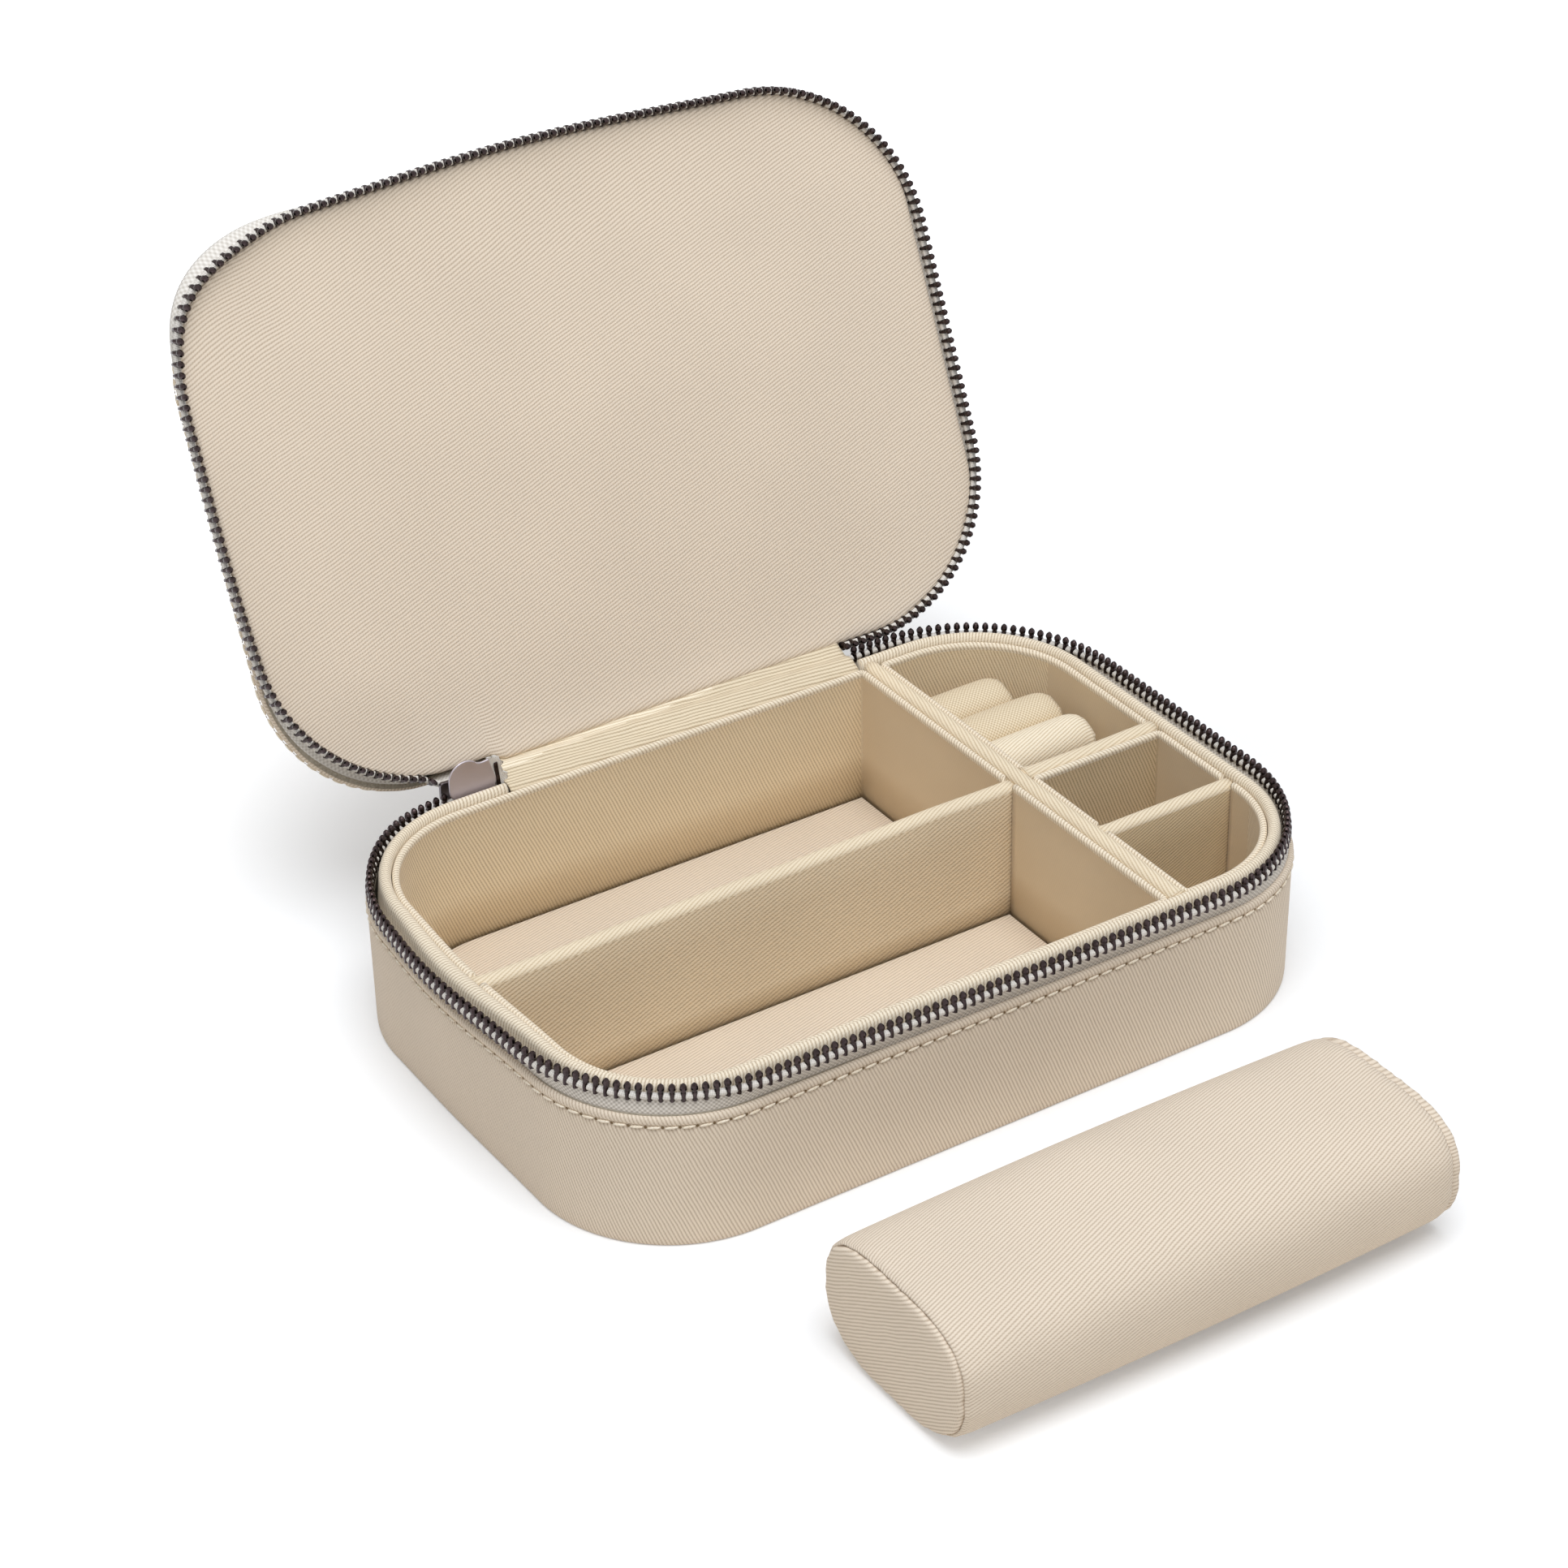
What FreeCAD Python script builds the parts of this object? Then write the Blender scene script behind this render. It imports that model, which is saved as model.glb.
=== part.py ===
import FreeCAD, Part
import math
import os

# A zipped travel jewelry box, standing open, with its loose bracelet cushion in front of it.
# Sizes are in millimetres. X runs along the box, +Y towards the hinge at the back, +Z up.
# The origin is the middle of the base's underside.

os.makedirs("parts", exist_ok=True)
Vector = FreeCAD.Vector

# Case
box_length = 205.0
box_width = 140.0
corner_radius = 36.0
hem_height = 36.6
cover_thickness = 0.6
wall_board = 1.2
bottom_board = 2.0
hem_round = 0.4
fit_gap = 0.1

# Zip: each row's teeth are clamped on a tape that stands out of the hem
tape_thickness = 0.6
tape_reveal = 3.0
tape_seam = 10.0
tooth_pitch = 2.45
tooth_thickness = 0.9
tooth_width = 2.2
tooth_root = 2.4
tooth_tip = 2.1
chain_swell_x = 0.9
chain_swell_y = 0.2
chain_corner_ease = 6.0
hinge_corner_gap = 14.5

# Rim inside the zip, and the boards along the walls of the bays
collar_width = 2.9
collar_rise = 0.5
collar_round = 1.2
teeth_room = 0.8
liner_thickness = 1.6
liner_drop = 1.5
floor_pad = 1.4

# Dividers: thickness, place, and how far each top lies below the collar's
cross_thickness = 4.2
right_bay_length = 39.8
cross_drop = 0.5
long_thickness = 4.6
long_middle = -1.0
long_drop = 2.0
ring_thickness = 4.4
ring_middle = 0.0
ring_drop = 1.0
small_thickness = 4.4
small_middle = -30.4
small_drop = 2.0
divider_round = 1.0

# Ring rolls, stuffed tubes side by side on a foam block
roll_names = ("front", "middle", "back")
roll_pitch = 13.0
roll_gap = 0.4
roll_crown = 4.5
roll_below_rim = 4.7
roll_set_back = 0.8
roll_end_gap = 5.6
roll_end_taper = 4.0
roll_end_draw = 0.8
foam_height = 11.4

# Lid
lid_depth = 8.6
lid_edge_radius = 7.6
lid_board = 2.0
panel_face_rise = 4.3
panel_crown = 1.1
panel_edge_slope = 3.0
panel_crown_inset = 16.0
panel_side_gap = 0.2
lid_open_angle = 114.0
hinge_set_back = 1.5

# Hinge fabric
hinge_fabric = 0.6
hinge_end_gap = 1.0
spine_bulge = 2.0
seam_gap = 0.25
lining_tail = 8.5
lining_bend = 2.0
lining_slope = 16.0
lining_folds = 2
fold_angle = 25.0

# Zip slider, its crown and the pull tab that hangs from it
slider_length = 13.0
slider_plate = 1.1
slider_play = 0.3
slider_rise = 4.2
slider_nose = 3.0
slider_tail = 1.0
slider_post = 2.0
slider_end_gap = 0.5
slider_travel = 5.0
crown_reach = 1.9
crown_span = 7.0
crown_post = 1.2
crown_bar_radius = 0.6
crown_drop = 0.5
tab_width = 5.4
tab_thickness = 1.2
tab_length = 24.0
tab_round = 2.4
tab_knuckle_radius = 1.6
tab_pin_play = 0.08

# Bracelet cushion, an oval stuffed sleeve with flat sewn ends
cushion_length = 131.0
cushion_depth = 52.8
cushion_height = 33.0
cushion_side_radius = 12.5
cushion_x = -8.7
cushion_clearance = 38.6
cushion_fabric = 0.6
cushion_end_draw = 0.8
cushion_draw_length = 8.0
cushion_rest_flat = 0.5

# Heights that follow
board_top = cover_thickness + bottom_board
floor_top = board_top + floor_pad
zip_plane = hem_height + tape_reveal + tooth_root
collar_top = zip_plane + collar_rise
liner_top = collar_top - liner_drop
lid_hem = zip_plane + tooth_root + tape_reveal
lid_top = lid_hem + lid_depth

# Insets from the outer face of the case, layer by layer
board_inset = cover_thickness
tape_inset = board_inset + wall_board
tape_inner = tape_inset + tape_thickness
collar_inset = tape_inner + fit_gap
lip_inset = collar_inset + teeth_room
collar_inner = lip_inset + collar_width
liner_inset = collar_inner + fit_gap
liner_inner = liner_inset + liner_thickness

# Places that follow
hinge_half = box_length / 2 - corner_radius - hinge_corner_gap
hinge_y = box_width / 2 + hinge_set_back
chain_length = box_length + 2 * chain_swell_x
chain_width = box_width + 2 * chain_swell_y
chain_radius = corner_radius + chain_corner_ease
cross_right = box_length / 2 - liner_inset - right_bay_length
cross_left = cross_right - cross_thickness
slider_right = -hinge_half - slider_end_gap
slider_left = slider_right - slider_length
teeth_start = -slider_left + slider_travel + slider_end_gap
far = box_length + box_width


def save(shape, name):
    shape.exportStep("parts/" + name + ".step")


def box(x0, x1, y0, y1, z0, z1):
    return Part.makeBox(x1 - x0, y1 - y0, z1 - z0, Vector(x0, y0, z0))


def corner_arc(centre, radius, start):
    # A quarter arc from the angle start, counter-clockwise, in the horizontal plane.
    points = []
    for angle in (start, start + 45.0, start + 90.0):
        turn = math.radians(angle)
        points.append(centre + Vector(math.cos(turn), math.sin(turn), 0) * radius)
    return Part.Arc(*points).toShape()


def rounded_wire(length, width, radius, z):
    # A rectangle with rounded corners about the Z axis, started at the front right corner.
    arcs = []
    for x_side, y_side, start in ((1, -1, 270.0), (1, 1, 0.0), (-1, 1, 90.0), (-1, -1, 180.0)):
        centre = Vector(x_side * (length / 2 - radius), y_side * (width / 2 - radius), z)
        arcs.append(corner_arc(centre, radius, start))
    edges = []
    for arc, following in zip(arcs, arcs[1:] + arcs[:1]):
        edges.append(arc)
        edges.append(Part.makeLine(arc.Vertexes[-1].Point, following.Vertexes[0].Point))
    return Part.Wire(edges)


def case_wire(inset, z):
    return rounded_wire(box_length - 2 * inset, box_width - 2 * inset, corner_radius - inset, z)


def chain_wire(outset, z):
    return rounded_wire(chain_length + 2 * outset, chain_width + 2 * outset, chain_radius + outset, z)


def case_prism(inset, z0, z1):
    return Part.Face(case_wire(inset, z0)).extrude(Vector(0, 0, z1 - z0))


def case_ring(outer_inset, inner_inset, z0, z1):
    return case_prism(outer_inset, z0, z1).cut(case_prism(inner_inset, z0, z1))


def round_edges_at(shape, z, radius):
    # Rounds every edge that lies flat at the height z.
    edges = []
    for edge in shape.Edges:
        if abs(edge.BoundBox.ZMin - z) < fit_gap / 10 and abs(edge.BoundBox.ZMax - z) < fit_gap / 10:
            edges.append(edge)
    return shape.makeFillet(radius, edges)


def hinge_gap(left_half, z0, z1):
    # The stretch of the back that the hinge leaves free of collar and zip.
    return box(-left_half, hinge_half, 0, far, z0, z1)


def open_lid(shape):
    # The lid's pieces are drawn closed and then swung open about the hinge line.
    opened = shape.copy()
    opened.rotate(Vector(0, hinge_y, zip_plane), Vector(1, 0, 0), -lid_open_angle)
    return opened


def open_lid_point(y, z):
    swing = math.radians(lid_open_angle)
    across = y - hinge_y
    up = z - zip_plane
    return Vector(
        0,
        hinge_y + across * math.cos(swing) + up * math.sin(swing),
        zip_plane - across * math.sin(swing) + up * math.cos(swing),
    )


def base_shell():
    save(round_edges_at(case_prism(0, 0, cover_thickness), 0, hem_round), "base_bottom_cover")

    fold = case_ring(0, tape_inset, hem_height - cover_thickness, hem_height)
    skin = case_ring(0, board_inset, cover_thickness, hem_height - cover_thickness)
    hemmed = skin.fuse(fold).removeSplitter()
    save(hemmed, "base_wall_cover")

    save(case_prism(board_inset, cover_thickness, board_top), "base_bottom_board")
    save(case_ring(board_inset, tape_inset, board_top, hem_height - cover_thickness), "base_wall_board")


def collar():
    # Its lip stands in from the wall, to leave room for the teeth when the lid comes down.
    foot = case_ring(collar_inset, collar_inner, board_top, hem_height)
    lip = case_ring(lip_inset, collar_inner, hem_height, collar_top)
    rim = foot.fuse(lip).removeSplitter()
    rim = round_edges_at(rim, collar_top, collar_round)
    save(rim.cut(hinge_gap(hinge_half, 0, lid_top)), "collar")


def tape_shell(stations, half):
    # A tape between two lofts, half its thickness outside and inside its middle line.
    outer = Part.makeLoft([wire(half, z) for wire, z in stations], True, True)
    inner = Part.makeLoft([wire(-half, z) for wire, z in stations], True, True)
    return outer.cut(inner)


def sewn_wire(outset, z):
    return case_wire((tape_inset + tape_inner) / 2 - outset, z)


def zip_tapes():
    half = tape_thickness / 2
    base = tape_shell((
        (sewn_wire, hem_height - tape_seam),
        (sewn_wire, hem_height),
        (chain_wire, zip_plane - tooth_root),
    ), half)
    save(base.cut(hinge_gap(hinge_half, 0, lid_top)), "base_zip_tape")

    lid = tape_shell((
        (chain_wire, zip_plane + tooth_root),
        (sewn_wire, lid_hem),
        (sewn_wire, lid_hem + cover_thickness + lid_board),
    ), half)
    save(open_lid(lid.cut(hinge_gap(teeth_start, 0, lid_top))), "lid_zip_tape")


def chain_station(travel):
    # Place and heading at a distance along the zip, from the middle of the back towards -X.
    side_x = chain_length / 2 - chain_radius
    side_y = chain_width / 2 - chain_radius
    quarter = chain_radius * math.pi / 2
    heading = 180.0
    place = Vector(0, chain_width / 2, 0)
    for straight in (side_x, 2 * side_y, 2 * side_x, 2 * side_y, side_x):
        ahead = Vector(math.cos(math.radians(heading)), math.sin(math.radians(heading)), 0)
        if travel <= straight:
            return place + ahead * travel, heading
        place = place + ahead * straight
        travel = travel - straight
        left = Vector(-ahead.y, ahead.x, 0)
        if travel <= quarter:
            turn = travel / chain_radius
            along = ahead * math.sin(turn) + left * (1 - math.cos(turn))
            return place + along * chain_radius, heading + math.degrees(turn)
        place = place + (ahead + left) * chain_radius
        travel = travel - quarter
        heading = heading + 90.0
    return place, heading


def tooth_row(z0, z1, first_offset):
    straight = 2 * (chain_length + chain_width) - 8 * chain_radius
    girth = straight + 2 * math.pi * chain_radius
    teeth = []
    travel = teeth_start + first_offset
    while travel < girth - hinge_half - tooth_pitch:
        place, heading = chain_station(travel)
        tooth = box(-tooth_thickness / 2, tooth_thickness / 2, -tooth_width / 2, tooth_width / 2, z0, z1)
        tooth.rotate(Vector(0, 0, 0), Vector(0, 0, 1), heading)
        tooth.translate(place)
        teeth.append(tooth)
        travel = travel + tooth_pitch
    return Part.makeCompound(teeth)


def zip_teeth():
    # The two rows lie half a pitch apart, so that they mesh when the lid is closed.
    clear_of_end = tooth_thickness
    base = tooth_row(zip_plane - tooth_root, zip_plane + tooth_tip, clear_of_end)
    save(base, "base_zip_teeth")
    lid = tooth_row(zip_plane - tooth_tip, zip_plane + tooth_root, clear_of_end + tooth_pitch / 2)
    save(open_lid(lid), "lid_zip_teeth")


def divider(name, x0, x1, middle, thickness, drop):
    top = collar_top - drop
    board = box(x0, x1, middle - thickness / 2, middle + thickness / 2, board_top, top)
    long_edges = []
    for edge in board.Edges:
        box_of_edge = edge.BoundBox
        if box_of_edge.ZMin > top - fit_gap and box_of_edge.XLength > thickness:
            long_edges.append(edge)
    board = board.makeFillet(divider_round, long_edges)
    save(board.common(case_prism(liner_inset, 0, lid_top)), name)


def dividers():
    top = collar_top - cross_drop
    inner_half = box_width / 2 - liner_inset
    cross = box(cross_left, cross_right, -inner_half, inner_half, board_top, top)
    long_edges = []
    for edge in cross.Edges:
        if edge.BoundBox.ZMin > top - fit_gap and edge.BoundBox.YLength > cross_thickness:
            long_edges.append(edge)
    save(cross.makeFillet(divider_round, long_edges), "cross_divider")
    divider("long_divider", -far, cross_left - fit_gap, long_middle, long_thickness, long_drop)
    divider("ring_divider", cross_right + fit_gap, far, ring_middle, ring_thickness, ring_drop)
    divider("small_divider", cross_right + fit_gap, far, small_middle, small_thickness, small_drop)


def bay_block(x0, x1, y0, y1, z0, z1, inset):
    return box(x0, x1, y0, y1, z0, z1).common(case_prism(inset, z0, z1))


def bay(name, x0, x1, y0, y1, open_front):
    # A bay's liner stands on three sides and leaves the divider's side open.
    # Where a side is the case's own wall, the outline is cut to it.
    block = bay_block(x0, x1, y0, y1, board_top, liner_top, liner_inset)
    hollow_x0 = x0 + liner_thickness
    hollow_x1 = x1 - liner_thickness
    hollow_y0 = y0 - far if open_front else y0 + liner_thickness
    hollow_y1 = y1 - liner_thickness if open_front else y1 + far
    hollow = bay_block(hollow_x0, hollow_x1, hollow_y0, hollow_y1, board_top, liner_top, liner_inner)
    save(block.cut(hollow), "liner_" + name)

    pad_y0 = y0 if open_front else hollow_y0 + fit_gap
    pad_y1 = hollow_y1 - fit_gap if open_front else y1
    return hollow_x0 + fit_gap, hollow_x1 - fit_gap, pad_y0, pad_y1


def bays():
    left_x1 = cross_left - fit_gap
    right_x0 = cross_right + fit_gap
    long_front = long_middle - long_thickness / 2 - fit_gap
    long_back = long_middle + long_thickness / 2 + fit_gap
    ring_front = ring_middle - ring_thickness / 2 - fit_gap
    ring_back = ring_middle + ring_thickness / 2 + fit_gap
    small_front = small_middle - small_thickness / 2 - fit_gap
    small_back = small_middle + small_thickness / 2 + fit_gap

    pads = {
        "left_back": bay("left_back", -far, left_x1, long_back, far, True),
        "left_front": bay("left_front", -far, left_x1, -far, long_front, False),
        "small_back": bay("small_back", right_x0, far, small_back, ring_front, True),
        "small_front": bay("small_front", right_x0, far, -far, small_front, False),
    }
    for name, outline in pads.items():
        save(bay_block(*outline, board_top, floor_top, liner_inner + fit_gap), "floor_" + name)

    ring_bay = bay("ring", right_x0, far, ring_back, far, True)
    ring_holder(ring_bay[0], ring_back)


def roll_section(x, middle, half_width, z0, z1, crown):
    # Straight sides under an arched top.
    points = (
        Vector(x, middle - half_width, z1 - crown),
        Vector(x, middle - half_width, z0),
        Vector(x, middle + half_width, z0),
        Vector(x, middle + half_width, z1 - crown),
    )
    edges = [Part.makeLine(start, end) for start, end in zip(points, points[1:])]
    edges.append(Part.Arc(points[3], Vector(x, middle, z1), points[0]).toShape())
    return Part.Wire(edges)


def ring_holder(x0, y0):
    seat = board_top + foam_height
    foam = bay_block(x0, far, y0, far, board_top, seat, liner_inner + fit_gap)
    foam = foam.common(box(x0, far, y0, box_width / 2 - liner_inner - fit_gap, board_top, seat))
    save(foam, "ring_foam_base")

    top = liner_top - roll_below_rim
    back_wall = box_width / 2 - liner_inner
    bay_middle = (y0 + back_wall) / 2 + roll_set_back
    half_width = (roll_pitch - roll_gap) / 2
    wall_radius = corner_radius - liner_inner
    for index, name in enumerate(roll_names):
        middle = bay_middle + (index - 1) * roll_pitch
        into_corner = max(0.0, middle + half_width - (box_width / 2 - corner_radius))
        wall_x = box_length / 2 - corner_radius + math.sqrt(wall_radius ** 2 - into_corner ** 2)
        end = wall_x - roll_end_gap
        drawn = half_width - roll_end_draw
        roll = Part.makeLoft([
            roll_section(x0, middle, half_width, seat, top, roll_crown),
            roll_section(end - roll_end_taper, middle, half_width, seat, top, roll_crown),
            roll_section(end, middle, drawn, seat, top - roll_end_draw, roll_crown),
        ], True, True)
        save(roll, "ring_roll_" + name)


def lid():
    inside_hem = lid_hem + cover_thickness
    inside_top = lid_top - cover_thickness
    outer_radius = min(lid_edge_radius, lid_depth - cover_thickness - fit_gap)
    outer = round_edges_at(case_prism(0, lid_hem, lid_top), lid_top, outer_radius)
    inner = case_prism(cover_thickness, inside_hem, inside_top)
    inner = round_edges_at(inner, inside_top, outer_radius - cover_thickness)
    mouth = case_prism(tape_inset, lid_hem, inside_hem)
    save(open_lid(outer.cut(inner).cut(mouth)), "lid_cover")

    board_under = inside_hem
    board_over = inside_hem + lid_board
    ring = case_ring(board_inset, tape_inset, board_under, board_over)
    save(open_lid(ring.common(inner)), "lid_wall_board")
    save(open_lid(case_prism(collar_inset, board_under, board_over)), "lid_board")
    save(open_lid(inner.common(box(-far, far, -far, far, board_over, inside_top))), "lid_wadding")

    # The lining panel swells a little towards the inside of the box.
    side = tape_inner + panel_side_gap
    face = zip_plane + panel_face_rise
    panel = Part.makeLoft([
        case_wire(side, board_under),
        case_wire(side, face),
        case_wire(side + panel_edge_slope, face - panel_crown / 2),
        case_wire(side + panel_crown_inset, face - panel_crown),
    ], True, True)
    save(open_lid(panel), "lid_inner_panel")


def arc_point(start, end, bulge):
    # The crown of an arc over the line from start to end, on its left, seen from +X.
    across = end - start
    left = Vector(0, -across.z, across.y).normalize()
    return (start + end) * 0.5 + left * bulge


def hinge_strip(face):
    strip_half = hinge_half - hinge_end_gap
    strip = face.extrude(Vector(2 * strip_half, 0, 0))
    strip.translate(Vector(-strip_half, 0, 0))
    return strip


def hinge_spine():
    # Outer hinge fabric: one arch from the base's hem to the open lid's hem.
    half = hinge_fabric / 2
    start = Vector(0, box_width / 2 - half, hem_height + seam_gap)
    end = open_lid_point(box_width / 2 - half, lid_hem - seam_gap)
    crown = arc_point(start, end, spine_bulge)
    centre = Part.Circle(start, crown, end).Center
    arcs = []
    for offset in (half, -half):
        points = []
        for point in (start, crown, end):
            radial = (point - centre).normalize()
            points.append(point + radial * offset)
        arcs.append(points)
    outer, inner = arcs
    edges = [
        Part.Arc(*outer).toShape(),
        Part.makeLine(outer[2], inner[2]),
        Part.Arc(*reversed(inner)).toShape(),
        Part.makeLine(inner[0], outer[0]),
    ]
    save(hinge_strip(Part.Face(Part.Wire(edges))), "hinge_spine")


def strip_sides(start, heading, moves, half):
    # Follows straight and curved moves in the YZ plane and returns the strip's two long sides.
    # A move is a length and a turn in degrees: a left turn is positive, and no turn is a straight run.
    left_edges = []
    right_edges = []
    place = start
    for length, turn in moves:
        stations = []
        for share in (0.0, 0.5, 1.0):
            turned = math.radians(turn * share)
            aim = math.radians(heading)
            if turn:
                radius = length / math.radians(turn)
                forward = radius * math.sin(turned)
                sideways = radius * (1 - math.cos(turned))
            else:
                forward = length * share
                sideways = 0.0
            y = place.y + forward * math.cos(aim) - sideways * math.sin(aim)
            z = place.z + forward * math.sin(aim) + sideways * math.cos(aim)
            normal = Vector(0, -math.sin(aim + turned), math.cos(aim + turned))
            stations.append((Vector(0, y, z), normal))
        for edges, side in ((left_edges, half), (right_edges, -half)):
            points = [point + normal * side for point, normal in stations]
            if turn:
                edges.append(Part.Arc(*points).toShape())
            else:
                edges.append(Part.makeLine(points[0], points[2]))
        place = stations[2][0]
        heading = heading + turn
    return left_edges, right_edges


def hinge_lining():
    # Inner hinge fabric: up out of the slot behind the liner, over, and in soft folds to the lid's panel.
    half = hinge_fabric / 2
    slope = math.radians(lining_slope)
    fold = math.radians(fold_angle)
    bend_turn = 90.0 - lining_slope
    seam_y = box_width / 2 - tape_inner - panel_side_gap + seam_gap + half
    seam = open_lid_point(seam_y, zip_plane + panel_face_rise + half)
    rise_y = box_width / 2 - liner_inset + fit_gap + half
    bend_y = rise_y + lining_bend * (1 - math.sin(slope))
    run = (seam.y - bend_y) / math.cos(slope)
    bend_z = seam.z - run * math.sin(slope)
    rise_top = bend_z - lining_bend * math.cos(slope)
    start = Vector(0, rise_y, rise_top - lining_tail)

    fold_radius = run / (lining_folds * 4 * math.sin(fold))
    fold_length = fold_radius * fold
    moves = [(lining_tail, 0.0), (lining_bend * math.radians(bend_turn), -bend_turn)]
    for _ in range(lining_folds):
        moves.append((fold_length, fold_angle))
        moves.append((2 * fold_length, -2 * fold_angle))
        moves.append((fold_length, fold_angle))
    left_edges, right_edges = strip_sides(start, 90.0, moves, half)
    foot = Part.makeLine(right_edges[0].Vertexes[0].Point, left_edges[0].Vertexes[0].Point)
    head = Part.makeLine(left_edges[-1].Vertexes[-1].Point, right_edges[-1].Vertexes[-1].Point)
    outline = Part.Wire(Part.__sortEdges__([foot] + left_edges + [head] + right_edges))
    save(hinge_strip(Part.Face(outline)), "hinge_lining")


def slider_plate_at(y0):
    # A plate with a rounded nose where the two rows part and a square tail.
    z0 = zip_plane - tooth_root + fit_gap
    z1 = zip_plane + slider_rise
    plate = box(slider_left, slider_right, y0, y0 + slider_plate, z0, z1)
    for x, radius in ((slider_left, slider_nose), (slider_right, slider_tail)):
        corners = []
        for edge in plate.Edges:
            at_end = abs(edge.BoundBox.XMin - x) < fit_gap and abs(edge.BoundBox.XMax - x) < fit_gap
            if at_end and edge.BoundBox.ZLength < fit_gap:
                corners.append(edge)
        plate = plate.makeFillet(radius, corners)
    return plate


def slider():
    chain_y = chain_width / 2
    channel = tooth_width / 2 + slider_play
    inner_y = chain_y - channel - slider_plate
    outer_y = chain_y + channel
    post_x = slider_left + slider_nose
    post = box(
        post_x - slider_post / 2, post_x + slider_post / 2,
        chain_y - channel, chain_y + channel,
        zip_plane - slider_post / 2, zip_plane + slider_post / 2,
    )
    body = slider_plate_at(inner_y).fuse(slider_plate_at(outer_y)).fuse(post).removeSplitter()
    save(body, "slider_body")

    # The crown is a bar held off the outer plate by two posts.
    middle_x = (slider_left + slider_right) / 2
    plate_y = outer_y + slider_plate
    bar_y = plate_y + crown_reach
    bar_z = zip_plane - crown_drop
    crown = Part.makeCylinder(
        crown_bar_radius, crown_span, Vector(middle_x - crown_span / 2, bar_y, bar_z), Vector(1, 0, 0)
    )
    for side in (-1, 1):
        x = middle_x + side * crown_span / 2
        leg = box(
            x - crown_post / 2, x + crown_post / 2,
            plate_y, bar_y + crown_bar_radius,
            bar_z - crown_bar_radius, bar_z + crown_bar_radius,
        )
        crown = crown.fuse(leg)
    save(crown.removeSplitter(), "slider_crown")
    pull_tab(middle_x, bar_y, bar_z)


def pull_tab(x, y, z):
    half = tab_width / 2
    knuckle = Part.makeCylinder(tab_knuckle_radius, tab_width, Vector(x - half, y, z), Vector(1, 0, 0))
    blade = box(x - half, x + half, y - tab_thickness / 2, y + tab_thickness / 2, z - tab_length, z)
    tip = []
    for edge in blade.Edges:
        across = edge.BoundBox.YLength > tab_thickness / 2 and edge.BoundBox.XLength < fit_gap
        if across and edge.BoundBox.ZMax < z - tab_length / 2:
            tip.append(edge)
    blade = blade.makeFillet(min(tab_round, half - fit_gap), tip)
    bore = Part.makeCylinder(
        crown_bar_radius + tab_pin_play, tab_width, Vector(x - half, y, z), Vector(1, 0, 0)
    )
    save(knuckle.fuse(blade).removeSplitter().cut(bore), "pull_tab")


def oval_wire(x, y, z, half_depth, half_height, side_radius):
    # Four arcs: two tight ones at the sides, two wide ones over the top and underneath.
    side_y = half_depth - side_radius
    wide_radius = (side_y ** 2 + half_height ** 2 - side_radius ** 2) / (2 * (half_height - side_radius))
    wide_drop = wide_radius - half_height
    length = math.hypot(side_y, wide_drop)
    joint_y = side_y + side_radius * side_y / length
    joint_z = side_radius * wide_drop / length
    top = Vector(x, y, z + half_height)
    under = Vector(x, y, z - half_height)
    edges = []
    for sign, middle in ((1, top), (-1, under)):
        start = Vector(x, y + sign * joint_y, z + sign * joint_z)
        end = Vector(x, y - sign * joint_y, z + sign * joint_z)
        edges.append(Part.Arc(start, middle, end).toShape())
        side = Vector(x, y - sign * half_depth, z)
        down = Vector(x, y - sign * joint_y, z - sign * joint_z)
        edges.append(Part.Arc(end, side, down).toShape())
    return Part.Wire(edges)


def cushion_form(x0, x1, inset):
    # The sleeve is drawn in a little at the sewn ends.
    y = -box_width / 2 - cushion_clearance - cushion_depth / 2
    z = cushion_height / 2 - cushion_rest_flat
    sections = []
    for x, draw in (
        (x0, cushion_end_draw),
        (x0 + cushion_draw_length, 0.0),
        (x1 - cushion_draw_length, 0.0),
        (x1, cushion_end_draw),
    ):
        shrink = inset + draw
        sections.append(oval_wire(
            x, y, z,
            cushion_depth / 2 - shrink, cushion_height / 2 - shrink, cushion_side_radius - shrink,
        ))
    form = Part.makeLoft(sections, True, True)
    return form.common(box(x0, x1, -far, far, inset, far))


def cushion():
    x0 = cushion_x - cushion_length / 2
    x1 = cushion_x + cushion_length / 2
    outer = cushion_form(x0, x1, 0.0)
    hollow = cushion_form(x0, x1, cushion_fabric)
    save(outer.cut(hollow), "cushion_sleeve")
    stuffing = cushion_form(x0, x1, cushion_fabric + fit_gap)
    core_x0 = x0 + cushion_fabric
    core_x1 = x1 - cushion_fabric
    save(stuffing.common(box(core_x0, core_x1, -far, far, 0, far)), "cushion_core")
    save(stuffing.common(box(x0, core_x0, -far, far, 0, far)), "cushion_cap_left")
    save(stuffing.common(box(core_x1, x1, -far, far, 0, far)), "cushion_cap_right")


base_shell()
collar()
zip_tapes()
zip_teeth()
dividers()
bays()
lid()
hinge_spine()
hinge_lining()
slider()
cushion()
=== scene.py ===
import math
from collections import namedtuple

import bmesh
import bpy
from mathutils import Matrix, Vector


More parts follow.
